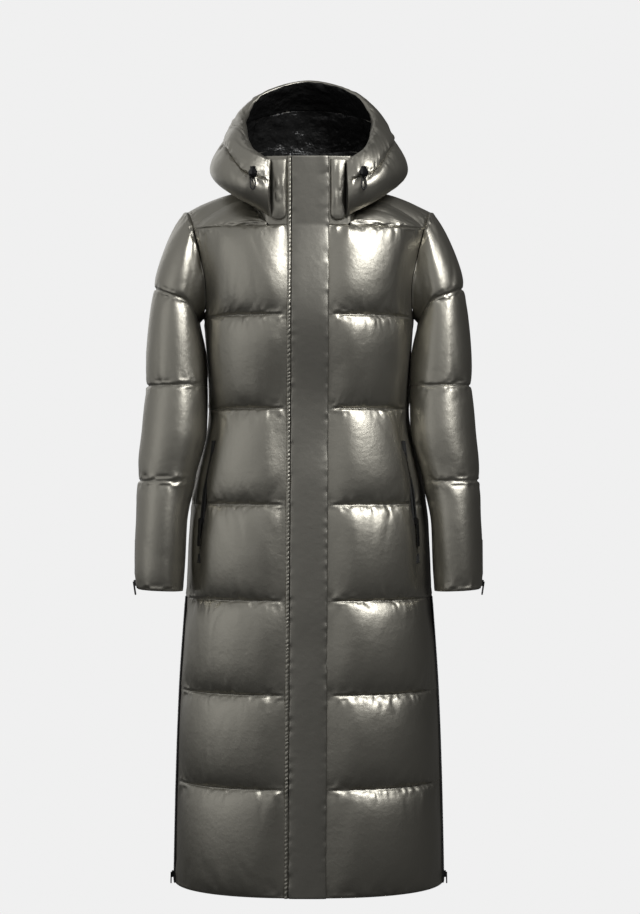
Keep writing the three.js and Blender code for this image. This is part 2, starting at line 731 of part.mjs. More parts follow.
// A strip laid on a face along the lines given, following every row of the face
function laidStrip(lines, bottom, top, outward, lift, thickness) {
  const grid = cutLines(lines, bottom, top);
  const face = shifted(grid, outward, () => lift + thickness);
  return wall(face, shifted(grid, outward, () => lift));
}

// A zip's slider and its pull tab at a point of the zip, facing outwards
function sliderAndPull(prefix, point, outward, pull) {
  const rise = ZIP.lift + ZIP.thickness + TOUCH + SLIDER.thickness / 2;
  const middle = point.clone().addScaledVector(outward, rise);
  addPart(`${prefix.replace('SIDE', 'slider')}`, block(middle, outward, SLIDER), COLOURS.metal);
  const pivot = middle.clone().addScaledVector(outward, SLIDER.thickness / 2 + TOUCH + pull.thickness / 2);
  const up = vec(0, 0, 1).addScaledVector(outward, -outward.z).normalize();
  pivot.addScaledVector(up, pull.rise);
  const tab = pullTab(pivot, outward, pull.length, pull.width, pull.thickness);
  addPart(`${prefix.replace('SIDE', 'pull')}`, tab, COLOURS.metal);
}

// Assembly

const fronts = { right: frontPanel(-1), left: frontPanel(1) };
const back = backPanel();
const arms = { right: armhole(fronts.right, back, -1), left: armhole(fronts.left, back, 1) };
const sideOf = { right: -1, left: 1 };
const PANEL_SEAMS = ['first_column', 'last_column', 'last_row'];
const YOKE_SEAMS = ['first_row', 'first_column', 'last_column'];

function buildTorso() {
  for (const [name, side] of Object.entries(sideOf)) {
    addPart(`front_${name}`, torsoWall(fronts[name], PANEL_SEAMS), COLOURS.shell);
    const yoke = frontYoke(fronts[name], arms[name], side);
    addPart(`yoke_front_${name}`, torsoWall(yoke, YOKE_SEAMS), COLOURS.shell);
  }
  addPart('back', torsoWall(back, PANEL_SEAMS), COLOURS.shell);
  addPart('yoke_back', torsoWall(backYoke(back, arms), YOKE_SEAMS), COLOURS.shell);
}

// The neck seam from the zip round the back to the zip again, through the points of every panel
function neckLine() {
  const half = (name) => {
    const topRow = fronts[name].grid[fronts[name].grid.length - 1];
    const yoke = frontYoke(fronts[name], arms[name], sideOf[name]);
    return [...topRow.slice(0, NECK_COLUMN), ...yoke.grid[YOKE_STEPS].slice().reverse()];
  };
  const rear = backYoke(back, arms).grid[YOKE_STEPS];
  return [...half('left'), ...rear.slice(1, -1), ...half('right').reverse()];
}

function buildCollar() {
  const panel = collarGrid(neckLine());
  const ends = ['first_column', 'last_column'];
  addPart('collar', torsoWall(panel, ends, collarOutward, COLLAR_THICKNESS), COLOURS.shell);
  return panel;
}

function buildSleeves() {
  for (const [name, side] of Object.entries(sideOf)) {
    addPart(`sleeve_${name}`, sleeveWall(sleevePanel(arms[name].loop, side)), COLOURS.shell);
  }
}

function buildHood() {
  const sideSections = range(0, HOOD_CENTRE_SECTION, 9);
  const centreSections = range(HOOD_CENTRE_SECTION, 2 * HOOD_LAST - HOOD_CENTRE_SECTION, 4);
  const low = [0, 0.6, 1.2, 1.8, 2.4, 3];
  for (const [name, side] of Object.entries(sideOf)) {
    const panel = hoodPanel(sideSections, low, side, HOOD_PUFF);
    addPart(`hood_side_${name}`, hoodWall(panel, ['last_column', 'last_row']), COLOURS.shell);
  }
  const centre = hoodPanel(centreSections, low, 1, HOOD_PUFF);
  addPart('hood_centre', hoodWall(centre, ['first_column', 'last_column', 'last_row']), COLOURS.shell);
  const whole = [...sideSections.slice(0, -1), ...centreSections];
  const rest = sideSections.slice(0, -1).reverse().map((section) => 2 * HOOD_LAST - section);
  const brim = hoodPanel([...whole, ...rest], [3, 3.15, 3.5, 3.85, 4], 1, HOOD_PUFF);
  addPart('hood_brim', hoodWall(brim, ['first_row']), COLOURS.shell);
}

// Front closure: the zip between the fronts, the smooth placket over it and its gathered piping
function buildClosure(collar) {
  const heights = [...ROWS.map((row) => row.height), ...collar.grid.slice(1).map((line) => line[0].z)];
  const at = (offset) => heights.map((height) => {
    const x = placketCentre(height) + offset;
    if (height <= YOKE_SEAM_HEIGHT) return torsoPoint(angleAtX(x, height), height);
    const foot = torsoPoint(angleAtX(x, YOKE_SEAM_HEIGHT), YOKE_SEAM_HEIGHT);
    return vec(foot.x, foot.y, height);
  });
  const forward = () => vec(0, -1, 0);
  const zipHalf = ZIP_HALF_WIDTH - SEAM_GAP;
  const zip = strip(at(-zipHalf), at(zipHalf), forward, FRONT_ZIP.lift, FRONT_ZIP.thickness);
  addPart('front_zip', zip, COLOURS.tape);
  const { half_width: half, lift, thickness, piping_width: piping, piping_thickness: height } = PLACKET;
  const lines = [-half, -ZIP_HALF_WIDTH, ZIP_HALF_WIDTH, half].map(at);
  const grid = heights.map((_, r) => lines.map((line) => line[r]));
  const outer = shifted(grid, forward, () => lift + thickness);
  addPart('placket', wall(outer, shifted(grid, forward, () => lift)), COLOURS.placket);
  const pipingLeft = at(-half - SEAM_GAP - piping);
  const pipingRight = at(-half - SEAM_GAP);
  addPart('placket_piping', strip(pipingLeft, pipingRight, forward, lift, height), COLOURS.trim);
}

// Pocket, side vent and cuff zips, each with its slider and pull tab
function buildZips() {
  const rear = outerFace(back);
  for (const [name, side] of Object.entries(sideOf)) {
    const front = outerFace(fronts[name]);
    const pocket = [columnOf(front, POCKET_COLUMN), columnOf(front, POCKET_COLUMN + 1)];
    addPart(
      `pocket_zip_${name}`,
      laidStrip(pocket, POCKET.bottom, POCKET.top, torsoOutward, ZIP.lift, ZIP.thickness), COLOURS.tape,
    );
    const pocketMiddle = atHeight(between(...pocket, 0.5), POCKET.slider);
    const pocketOut = faceNormal(pocket, POCKET.slider, torsoOutward(pocketMiddle));
    sliderAndPull(`pocket_SIDE_${name}`, pocketMiddle, pocketOut, PULLS.pocket);

    const last = front[0].length - 1;
    const [edge, next] = side > 0 ? [0, 1] : [rear[0].length - 1, rear[0].length - 2];
    const vent = [
      between(columnOf(front, last), columnOf(front, last - 1), 1.5 * VENT_REACH), columnOf(front, last),
      columnOf(rear, edge), between(columnOf(rear, edge), columnOf(rear, next), VENT_REACH),
    ];
    addPart(
      `vent_zip_${name}`,
      laidStrip(vent, HEM_HEIGHT, VENT.top, torsoOutward, ZIP.lift, ZIP.thickness), COLOURS.tape,
    );
    const ventMiddle = atHeight(vent[1], VENT.slider);
    const ventOut = faceNormal(vent, VENT.slider, torsoOutward(ventMiddle));
    sliderAndPull(`vent_SIDE_${name}`, ventMiddle, ventOut, PULLS.vent);
  }
}

function buildCuffZips() {
  const outerColumn = SLEEVE_SIDES / 2;
  for (const [name, side] of Object.entries(sideOf)) {
    const face = outerFace(sleevePanel(arms[name].loop, side));
    const first = columnOf(face, outerColumn);
    const lines = [first, between(first, columnOf(face, outerColumn + 1), CUFF_ZIP_REACH)];
    const outward = vec(side, CUFF_TURN, 0).normalize();
    const strap = laidStrip(lines, CUFF.bottom, CUFF.top, () => outward, ZIP.lift, ZIP.thickness);
    addPart(`cuff_zip_${name}`, strap, COLOURS.tape);
    const middle = atHeight(between(...lines, 0.5), CUFF.slider);
    sliderAndPull(`cuff_SIDE_${name}`, middle, faceNormal(lines, CUFF.slider, outward), PULLS.cuff);
  }
}

// A plain patch on the outside of the left upper arm
function buildPatch() {
  const face = outerFace(sleevePanel(arms.left.loop, 1));
  const middle = SLEEVE_SIDES / 2;
  const centre = columnOf(face, middle);
  const lines = [
    between(centre, columnOf(face, middle - 1), PATCH.reach), centre,
    between(centre, columnOf(face, middle + 1), PATCH.reach),
  ];
  const patch = laidStrip(lines, PATCH.bottom, PATCH.top, () => vec(1, 0, 0), ZIP.lift, PATCH.thickness);
  addPart('sleeve_patch', patch, COLOURS.tape);
}

// Padded tabs on both sides of the placket's top, with rounded lower corners
function buildTabs(collarPanel) {
  const face = shifted(collarPanel.grid, collarOutward, (r, c) => collarPanel.puffs[r][c]);
  const columns = [0, 0.1, 0.5, 0.9, 1];
  const rows = [
    { height: TAB.bottom, width: 0.5 }, { height: TAB.bottom + 3, width: 0.8 },
    { height: TAB.bottom + 9, width: 0.96 }, { height: TAB.bottom + 16, width: 1 },
    { height: 0, width: 1 }, { height: TAB.top, width: 1 },
  ];
  for (const [name, side] of Object.entries(sideOf)) {
    const near = side > 0 ? [1, 2] : [face[0].length - 2, face[0].length - 3];
    const [a, b] = near.map((c) => face[0][c]);
    const onCollar = (x, height) => {
      const t = (side * x - a.x) / (b.x - a.x);
      return vec(side * x, lerp(a.y, b.y, t), height);
    };
    const middle = (TAB.inner + TAB.outer) / 2;
    const half = (TAB.outer - TAB.inner) / 2;
    const tabPoint = (row, t) => onCollar(middle + (2 * t - 1) * half * row.width, row.height);
    const grid = rows.map((row) => columns.map((t) => tabPoint(row, t)));
    const forward = () => vec(0, -1, 0);
    const isEdge = (r, c) => r === 0 || r === rows.length - 1 || c === 0 || c === columns.length - 1;
    const outer = shifted(grid, forward, (r, c) => TAB.lift + TAB.thickness + (isEdge(r, c) ? 0 : TAB.puff));
    addPart(`collar_tab_${name}`, wall(outer, shifted(grid, forward, () => TAB.lift)), COLOURS.shell);
  }
}

// A cord lock: a round body with a sprung button, and the loop of cord that hangs out below it
function buildCordLock(name, side) {
  const surface = hoodPoint(LOCK.section, CHANNEL_CURVE, side);
  const outward = hoodOutward(LOCK.section, CHANNEL_CURVE, side);
  const centre = surface.addScaledVector(outward, LOCK.stand_off);
  const ball = new THREE.SphereGeometry(LOCK.radius, 14, 10);
  ball.rotateX(Math.PI / 2);
  const socket = new THREE.CylinderGeometry(LOCK.socket_radius, LOCK.socket_radius, LOCK.socket_depth, 12);
  socket.rotateX(Math.PI / 2);
  socket.translate(0, 0, LOCK.radius);
  const body = solidOf(ball).subtract(solidOf(socket)).translate(centre.toArray());
  addPart(`cord_lock_${name}`, geometryOf(body), COLOURS.cord);
  const button = new THREE.CylinderGeometry(LOCK.button_radius, LOCK.button_radius, LOCK.button_length, 12);
  button.rotateX(Math.PI / 2);
  button.translate(centre.x, centre.y, centre.z + LOCK.button_rise);
  addPart(`cord_button_${name}`, button, COLOURS.cord);
  const foot = centre.clone().add(vec(0, 0, -LOCK.radius - TOUCH - CORD_CLEARANCE));
  const loop = CORD.loop.map((row) => foot.clone().add(vec(row.across * side, row.forward, row.down)));
  addPart(`drawcord_${name}`, cordGeometry(loop), COLOURS.cord);
}

buildTorso();
buildSleeves();
const collar = buildCollar();
buildHood();
buildClosure(collar);
buildTabs(collar);
buildZips();
buildCuffZips();
buildPatch();
for (const [name, side] of Object.entries(sideOf)) buildCordLock(name, side);

export default group;
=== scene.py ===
"""Long hooded puffer coat in its worn shape: quilted panels, hood, placket, zips and cord locks.

Metres in the scene, +Z up, the front faces -Y. The coat's own tables are in millimetres, as its maker
would write them, and each mesh is scaled by MM when it is made.
"""

import logging
import math
from dataclasses import dataclass, field
from enum import Enum
from typing import Optional, Sequence

import bpy
import numpy as np
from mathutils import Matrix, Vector


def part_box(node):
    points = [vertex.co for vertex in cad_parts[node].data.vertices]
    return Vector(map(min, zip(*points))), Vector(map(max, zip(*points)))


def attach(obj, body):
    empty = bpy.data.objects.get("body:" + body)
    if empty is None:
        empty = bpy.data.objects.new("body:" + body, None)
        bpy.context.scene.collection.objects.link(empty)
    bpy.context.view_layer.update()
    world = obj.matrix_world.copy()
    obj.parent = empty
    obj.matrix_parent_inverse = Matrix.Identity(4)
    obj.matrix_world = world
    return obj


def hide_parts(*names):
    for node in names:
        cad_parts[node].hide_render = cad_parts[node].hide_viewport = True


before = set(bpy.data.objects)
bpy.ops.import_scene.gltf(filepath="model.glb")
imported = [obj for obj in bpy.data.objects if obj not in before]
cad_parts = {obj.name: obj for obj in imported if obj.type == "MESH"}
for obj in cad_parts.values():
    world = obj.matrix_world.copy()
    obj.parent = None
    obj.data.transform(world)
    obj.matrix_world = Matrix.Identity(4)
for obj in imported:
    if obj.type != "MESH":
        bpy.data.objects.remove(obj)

logging.basicConfig(level=logging.INFO, format="%(message)s")
LOG = logging.getLogger("coat")

MM = 0.001
BODY = "coat"
SIDES = {"right": -1, "left": 1}

Grid = np.ndarray
Array = np.ndarray
Values = float | np.ndarray


# Driving sizes, in millimetres


@dataclass(frozen=True)
class TorsoRing:
    """Half width and depths of the torso at one quilting seam."""

    height: float
    half_width: float
    front: float
    back: float
    side_puff: float


TORSO = [
    TorsoRing(-1215, 243, 186, 132, 0.30),
    TorsoRing(-1029, 239, 182, 130, 0.30),
    TorsoRing(-866, 233, 178, 128, 0.30),
    TorsoRing(-703, 222, 172, 123, 0.30),
    TorsoRing(-536, 212, 165, 114, 0.25),
    TorsoRing(-368, 181, 154, 90, 0.12),
    TorsoRing(-200, 190, 170, 106, 0.12),
    TorsoRing(-48, 222, 150, 90, 0.5),
]
TORSO_CENTRE_Y = 22
RING_POWER = 2 / 2.4
HEM_HEIGHT = -1215
UNDERARM_HEIGHT = -205
YOKE_SEAM_HEIGHT = -48


@dataclass(frozen=True)
class SideEdge:
    """Angles in degrees at which the front and the back end, at one height."""

    height: float
    front_angle: float
    back_angle: float


SIDE_EDGE = [
    SideEdge(-205, 80, 80),
    SideEdge(-180, 70, 104),
    SideEdge(-127, 64, 120),
    SideEdge(-88, 64, 124),
    SideEdge(-48, 65, 122),
]
SIDE_SEAM_ANGLE = 80
SHOULDER_POINT = np.array([219.0, 8.0, -11.0])
NECK_SIDE = np.array([98.0, -5.0, 28.0])
NECK_BACK = np.array([0.0, 78.0, 34.0])
NECK_FRONT_HEIGHT = -43
ARMHOLE_LIFT = np.array([2.0, 0.0, 14.0])
ARMHOLE_BACK_SHARE = 0.12


@dataclass(frozen=True)
class SleeveRing:
    """Centre and half sizes of the sleeve at one seam."""

    seam: float
    x: float
    y: float
    height: float
    across: float
    deep: float
    outer_rise: float
    inner_drop: float = 0.0


SLEEVE = [
    SleeveRing(1, 235, -6, -168, 39, 70, 16, 28),
    SleeveRing(2, 233.5, -28, -326, 52.5, 62, 0),
    SleeveRing(2.45, 236, -36, -400, 53, 62, 0),
    SleeveRing(3, 251, -46, -495, 48.5, 58, 0),
    SleeveRing(3.4, 257, -54, -572, 41, 55, 0),
    SleeveRing(4, 263, -62, -688, 40, 50, 2),
]
SLEEVE_ROUNDNESS = 0.92
SLEEVE_SIDES = 16

HOOD_SEAM = [(70, -131.3, -34), (88, -107, -14), (99.5, -59, 17), (102.5, -3, 42), (67, 58, 48), (0, 80, 50)]
HOOD_LOW = [(70, -147, -12), (110, -130, -2), (140, -80, 20), (146, 8, 42), (118, 104, 44), (0, 138, 46)]
HOOD_BELLY = [(69, -152, 10), (112, -143, 22), (158, -86, 45), (168, 14, 64), (140, 126, 86), (0, 176, 100)]
HOOD_CHANNEL = [(68, -149, 26), (110, -140, 42), (142, -88, 86), (150, 0, 118), (121, 85, 165), (0, 148, 198)]
HOOD_RIM = [(67, -135, 64), (98, -115, 88), (112, -40, 134), (113, 18, 168), (89, 60, 212), (0, 95, 243)]
HOOD_CURVES = [HOOD_SEAM, HOOD_LOW, HOOD_BELLY, HOOD_CHANNEL, HOOD_RIM]
HOOD_SECTIONS = 10
HOOD_SIDE_END = 4.25
HOOD_PUFF_SECTIONS = 0.95
CHANNEL_CURVE = 3
RIM_CURVE = 4

CLOTH = 3.0
COLLAR_THICKNESS = 4.0
COLLAR_TOP_FRONT = 72
COLLAR_TOP_BACK = 104
COLLAR_LEAN = 6
COLLAR_CENTRE_Y = -14
ZIP_HALF_WIDTH = 4.5
BODY_PUFF = 17
SLEEVE_PUFF = 8
CAP_PUFF = 15
YOKE_PUFF = 9
HOOD_PUFF = 9
COLLAR_PUFF = 4
PLACKET_HALF_WIDTH = 32.5
PLACKET_LIFT = 0.7
PLACKET_THICKNESS = 3.0
PLACKET_AT_HEM, PLACKET_AT_YOKE = -2, 3.5
PIPING_WIDTH = 8.0
TAB_INNER, TAB_OUTER, TAB_BOTTOM, TAB_TOP = 38.5, 66, -39, 66

FRONT_SHARES = [0, 0.14, 0.36, 0.57, 0.66, 0.72, 0.95, 1]
FRONT_PUFF = [0, 0.86, 1, 0.96, 0.86, 0.78, 0, 0]
FRONT_FLAT = {"right": 43, "left": 36}
BACK_SHARES = [0, 0.03, 0.12, 0.23, 0.35, 0.5, 0.65, 0.77, 0.88, 0.97, 1]
BACK_PUFF = [0, 0, 0.7, 0.95, 1, 1, 1, 0.95, 0.7, 0, 0]
POCKET_TOP, POCKET_BOTTOM = -424, -640
POCKET_SHARES = (0.66, 0.72)
POCKET_LIFT = 0.8
PLACKET_TUCK, PLACKET_TUCK_PUFF = 0.045, 0.6
VENT_TOP = -703
SEAM_GAP = 0.34
BODY_MIDDLE = np.array([0, 20, -600])
FORWARD = np.array([0, -1.0, 0])
ON_SEAM = 1e-6

# Seeds of the crease patterns, and where each kind of panel starts in its pattern
FRONT_SEED, FRONT_YOKE_SEED, BACK_SEED, BACK_YOKE_SEED = 11, 21, 31, 32
SLEEVE_SEED, HOOD_SIDE_SEED, HOOD_CENTRE_SEED, HOOD_BRIM_SEED = 41, 51, 53, 54
COLLAR_SEED, TAB_SEED, PLACKET_SEED = 61, 71, 81
PATTERN_START = {"front": 500, "back": 2000, "yoke": 4000, "sleeve": 7000, "hood": 9000}


# Curves and surfaces


def lerp(a: Values, b: Values, t: Values) -> Values:
    """Value between a and b at the share t."""
    return a + (b - a) * t


def smooth(low: float, high: float, value: Values) -> Array:
    """Smooth step from 0 at low to 1 at high."""
    t = np.clip((np.asarray(value, float) - low) / (high - low), 0, 1)
    return t * t * (3 - 2 * t)


def read(table: Sequence, key: str, column: str, at: Values) -> Array:
    """Reads a smooth curve through the rows of a table.

    Args:
        table: rows in rising order of key.
        key: name of the field that the rows are ordered by.
        column: name of the field to read.
        at: places along key.

    Returns:
        The values of column at those places.
    """
    keys = np.array([getattr(row, key) for row in table], float)
    values = np.array([getattr(row, column) for row in table], float)
    at = np.clip(np.asarray(at, float), keys[0], keys[-1])
    slopes = np.diff(values) / np.diff(keys)
    before, after = slopes[:-1], slopes[1:]
    rising = before * after > 0
    total = np.where(rising, before + after, 1.0)
    middle = np.where(rising, 2 * before * after / total, 0.0)
    tangents = np.concatenate([slopes[:1], middle, slopes[-1:]])
    i = np.clip(np.searchsorted(keys, at, side="left") - 1, 0, len(keys) - 2)
    span = keys[i + 1] - keys[i]
    t = (at - keys[i]) / span
    return (
        (2 * t**3 - 3 * t**2 + 1) * values[i]
        + (t**3 - 2 * t**2 + t) * span * tangents[i]
        + (3 * t**2 - 2 * t**3) * values[i + 1]
        + (t**3 - t**2) * span * tangents[i + 1]
    )


def catmull(points: Array, share: float) -> Array:
    """Point of a centripetal Catmull-Rom curve.

    Args:
        points: control points, or stacked curves of them, (control, ..., 3).
        share: place along the curve, 0 to 1.

    Returns:
        The point, or one point for each stacked curve.
    """
    count = len(points)
    place = (count - 1) * share
    i = min(int(place), count - 2)
    t = place - i
    p1, p2 = points[i], points[i + 1]
    p0 = points[i - 1] if i > 0 else 2 * points[0] - points[1]
    p3 = points[i + 2] if i + 2 < count else 2 * points[-1] - points[-2]

    def step(a: Array, b: Array) -> Array:
        """Root of the distance between two control points."""
        return np.maximum(np.linalg.norm(b - a, axis=-1, keepdims=True), 1e-6) ** 0.5

    d0, d1, d2 = step(p0, p1), step(p1, p2), step(p2, p3)
    t1 = ((p1 - p0) / d0 - (p2 - p0) / (d0 + d1) + (p2 - p1) / d1) * d1
    t2 = ((p2 - p1) / d1 - (p3 - p1) / (d1 + d2) + (p3 - p2) / d2) * d1
    c2 = -3 * p1 + 3 * p2 - 2 * t1 - t2
    c3 = 2 * p1 - 2 * p2 + t1 + t2
    return p1 + t1 * t + c2 * t**2 + c3 * t**3


def bezier(points: Sequence[Array], t: Values) -> Array:
    """Points of a Bezier curve.

    Args:
        points: its control points, from the start to the end.
        t: shares of the curve, 0 to 1.

    Returns:
        A point for each share.
    """
    t = np.asarray(t, float)[..., None]
    level = [np.asarray(p, float) for p in points]
    while len(level) > 1:
        level = [lerp(a, b, t) for a, b in zip(level, level[1:])]
    return level[0]


def puff_profile(t: Values) -> Array:
    """Height of the filling across one baffle: steep by the seams and broad in the middle."""
    t = np.clip(t, 0, 1)
    return (4 * t * (1 - t)) ** 0.6


def soft_steps(at: Array, places: Sequence[float], values: Sequence[float]) -> Array:
    """Value read from a short list, eased from each entry to the next.

    Args:
        at: where to read.
        places: places of the entries, rising.
        values: the entries.

    Returns:
        The values at those places.
    """
    at = np.asarray(at, float)
    i = np.clip(np.searchsorted(places, at, side="right") - 1, 0, len(places) - 2)
    low, high = np.take(places, i), np.take(places, i + 1)
    share = np.clip((at - low) / (high - low), 0, 1)
    return lerp(np.take(values, i), np.take(values, i + 1), share * share * (3 - 2 * share))


def unit(vectors: Array) -> Array:
    """Vectors scaled to length one."""
    return vectors / np.maximum(np.linalg.norm(vectors, axis=-1, keepdims=True), 1e-9)


def grid_normals(grid: Grid, centre: Array, tube: bool = False) -> Array:
    """Unit normals of a grid of points.

    Args:
        grid: rows by columns of points.
        centre: a point inside; the normals face away from it.
        tube: whether the last column joins the first.

    Returns:
        A direction for each point.
    """
    if tube:
        wide = np.concatenate([grid[:, -1:], grid, grid[:, :1]], axis=1)
        across = (wide[:, 2:] - wide[:, :-2]) / 2
    else:
        across = np.gradient(grid, axis=1)
    normals = unit(np.cross(across, np.gradient(grid, axis=0)))
    if np.sum(normals * (grid - centre)) < 0:
        normals = -normals
    return normals


class Noise:
    """Smooth value noise on a seeded lattice, between -1 and 1."""

    SIZE = 256

    def __init__(self, seed: int) -> None:
        """Fills the lattice from the seed."""
        self.lattice = np.random.default_rng(seed).random((self.SIZE, self.SIZE)) * 2 - 1

    def __call__(self, x: Values, y: Values) -> Array:
        """Reads the noise.

        Args:
            x: place along the first side of the lattice.
            y: place along the second side.

        Returns:
            The values there.
        """
        x, y = np.broadcast_arrays(np.asarray(x, float), np.asarray(y, float))
        ix, iy = np.floor(x).astype(int), np.floor(y).astype(int)
        fx, fy = x - ix, y - iy
        fx, fy = fx * fx * (3 - 2 * fx), fy * fy * (3 - 2 * fy)

        def at(a: Array, b: Array) -> Array:
            """Lattice values at whole places."""
            return self.lattice[a % self.SIZE, b % self.SIZE]

        low = lerp(at(ix, iy), at(ix + 1, iy), fx)
        high = lerp(at(ix, iy + 1), at(ix + 1, iy + 1), fx)
        return lerp(low, high, fy)


@dataclass(frozen=True)
class Pucker:
    """One size of crease that runs away from a sewn seam, in millimetres."""

    wavelength: float
    length: float
    reach: float
    depth: float
    lean: float


PUCKERS = [
    Pucker(wavelength=5, length=16, reach=4.5, depth=2.1, lean=0.3),
    Pucker(wavelength=10, length=30, reach=8, depth=2.3, lean=0.5),
    Pucker(wavelength=26, length=80, reach=22, depth=2.2, lean=0.8),
]


LEAN_SPACING = 70.0
NEXT_BAFFLE, NEXT_SEAM, NEXT_SIZE = 7.31, 53.7, 19.0


def puckers(along: Array, below: Array, above: Array, baffle: Array, noise: Noise) -> Array:
    """Height of the creases that leave the seams below and above each point.

    Args:
        along: distance along the seam.
        below: distance to the seam below.
        above: distance to the seam above.
        baffle: number of the baffle, which changes the pattern.
        noise: the lattice to read.

    Returns:
        How far each point moves outwards, in millimetres.
    """
    total = np.zeros(np.broadcast(along, below).shape)
    for k, size in enumerate(PUCKERS):
        for distance, shift in ((below, 0.0), (above, NEXT_SEAM)):
            row = baffle * NEXT_BAFFLE + shift + NEXT_SIZE * k
            lean = size.lean * noise(along / LEAN_SPACING + 11.0 * k, row)
            x = (along + lean * distance) / size.wavelength
            wave = noise(x, row + distance / size.length)
            crease = 1.1 * np.abs(wave) ** 0.8 - 0.42 + 0.35 * wave
            strength = 0.55 + 0.55 * noise(along / (5 * size.wavelength) + 3.3, row + 0.5)
            fade = distance / size.reach * np.exp(1 - distance / size.reach)
            total = total + size.depth * strength * fade * crease
    return total


# Meshes


def closed_wall(outer: Grid, inner: Grid, tube: bool = False) -> tuple[Array, Array, int]:
    """Closed wall between two grids.

    Args:
        outer: rows by columns of outer points.
        inner: the matching inner points.
        tube: whether the last column joins the first.

    Returns:
        Points, quads and the number of quads on the outer face, which come first.
    """
    rows, columns = outer.shape[:2]
    points = np.concatenate([outer.reshape(-1, 3), inner.reshape(-1, 3)])
    index = np.arange(rows * columns).reshape(rows, columns)
    if tube:
        index = np.concatenate([index, index[:, :1]], axis=1)
    a, b, c, d = index[:-1, :-1], index[:-1, 1:], index[1:, 1:], index[1:, :-1]
    face = np.stack([a, b, c, d], axis=-1).reshape(-1, 4)
    lining = face[:, ::-1] + rows * columns
    offset = rows * columns
    rims = []

    def rim(line: Array) -> None:
        """Closes the wall along one edge of the grids."""
        rims.append(np.stack([line[1:], line[:-1], line[:-1] + offset, line[1:] + offset], axis=-1))

    rim(index[0])
    rim(index[-1][::-1])
    if not tube:
        rim(index[:, 0][::-1])
        rim(index[:, -1])
    quads = np.concatenate([face, lining, *rims])
    p = points[quads]
    volume = np.sum(p[:, 0] * np.cross(p[:, 1], p[:, 2])) + np.sum(p[:, 0] * np.cross(p[:, 2], p[:, 3]))
    if volume < 0:
        quads = quads[:, ::-1]
    return points, quads, len(face)


def mesh_object(name: str, points: Array, faces: Array, materials: Sequence[bpy.types.Material],
                slots: Optional[Array] = None) -> bpy.types.Object:
    """Makes a smooth-shaded mesh object at the origin.

    Args:
        name: the object's name.
        points: its points, in millimetres.
        faces: its faces, which all have as many sides.
        materials: its materials.
        slots: the number of each face's material, or nothing where all take the first.

    Returns:
        The object, linked to the scene.
    """
    mesh = bpy.data.meshes.new(name)
    sides = faces.shape[1]
    mesh.vertices.add(len(points))
    mesh.vertices.foreach_set("co", (points * MM).astype(np.float32).ravel())
    mesh.loops.add(faces.size)
    mesh.loops.foreach_set("vertex_index", faces.astype(np.int32).ravel())
    mesh.polygons.add(len(faces))
    mesh.polygons.foreach_set("loop_start", np.arange(0, faces.size, sides, dtype=np.int32))
    mesh.polygons.foreach_set("use_smooth", np.ones(len(faces), bool))
    for material in materials:
        mesh.materials.append(material)
    if slots is not None:
        mesh.polygons.foreach_set("material_index", slots.astype(np.int32))
    mesh.update(calc_edges=True)
    mesh.validate()
    made = bpy.data.objects.new(name, mesh)
    bpy.context.scene.collection.objects.link(made)
    return made


# Materials


class Wire:
    """A shader socket with arithmetic."""

    def __init__(self, tree: bpy.types.NodeTree, socket: bpy.types.NodeSocket) -> None:
        """Wraps a socket of a tree."""
        self.tree = tree
        self.socket = socket

    def _math(self, operation: str, other: "Wire | float") -> "Wire":
        """Adds a Math node.

        Args:
            operation: what the node does.
            other: its second value.

        Returns:
            The node's result.
        """
        node = self.tree.nodes.new("ShaderNodeMath")
        node.operation = operation
        self.tree.links.new(self.socket, node.inputs[0])
        if isinstance(other, Wire):
            self.tree.links.new(other.socket, node.inputs[1])
        else:
            node.inputs[1].default_value = other
        return Wire(self.tree, node.outputs[0])

    def __add__(self, other: "Wire | float") -> "Wire":
        """Sum of this socket and another, or a number."""
        return self._math("ADD", other)

    def __mul__(self, other: "Wire | float") -> "Wire":
        """Product of this socket and another, or a number."""
        return self._math("MULTIPLY", other)

    __radd__ = __add__
    __rmul__ = __mul__


class Board:
    """A node tree that is built up node by node."""

    def __init__(self, tree: bpy.types.NodeTree) -> None:
        """Takes the tree to build in."""
        self.tree = tree

    def node(self, kind: str, settings: Optional[dict] = None,
             sockets: Optional[dict] = None) -> bpy.types.Node:
        """Adds a node.

        Args:
            kind: the node's type.
            settings: its own settings, which are set first.
            sockets: values or wires for its sockets, by name or number.

        Returns:
            The node.
        """
        made = self.tree.nodes.new(kind)
        for key, value in (settings or {}).items():
            setattr(made, key, value)
        for key, value in (sockets or {}).items():
            self.feed(made.inputs[key], value)
        return made

    def feed(self, socket: bpy.types.NodeSocket, value: object) -> None:
        """Sets a socket to a constant or links a wire to it.

        Args:
            socket: the socket.
            value: the constant or the wire.
        """
        if isinstance(value, Wire):
            self.tree.links.new(value.socket, socket)
        else:
            socket.default_value = value

    def wire(self, node: bpy.types.Node, output: str | int) -> Wire:
        """Wire from a node's output, by name or number."""
        return Wire(self.tree, node.outputs[output])


class Shader(Board):
    """A material's node tree."""

    def __init__(self, name: str) -> None:
        """Makes the material, which starts with its main shader.

        Args:
            name: the material's name.
        """
        self.material = bpy.data.materials.new(name)
        self.material.use_nodes = True
        super().__init__(self.material.node_tree)
        self.main = next(n for n in self.tree.nodes if n.type == "BSDF_PRINCIPLED")

    def noise(self, scale: float, detail: float) -> Wire:
        """Noise over the object's own coordinates.

        Args:
            scale: how fine it is.
            detail: how many finer layers it has.

        Returns:
            Its value.
        """
        place = self.node("ShaderNodeTexCoord")
        made = self.node("ShaderNodeTexNoise", sockets={
            "Vector": self.wire(place, "Object"), "Scale": scale, "Detail": detail, "Roughness": 0.55,
        })
        return self.wire(made, "Fac")


CLOUD_SCALE = 9.0
COARSE_SHARE = 0.28


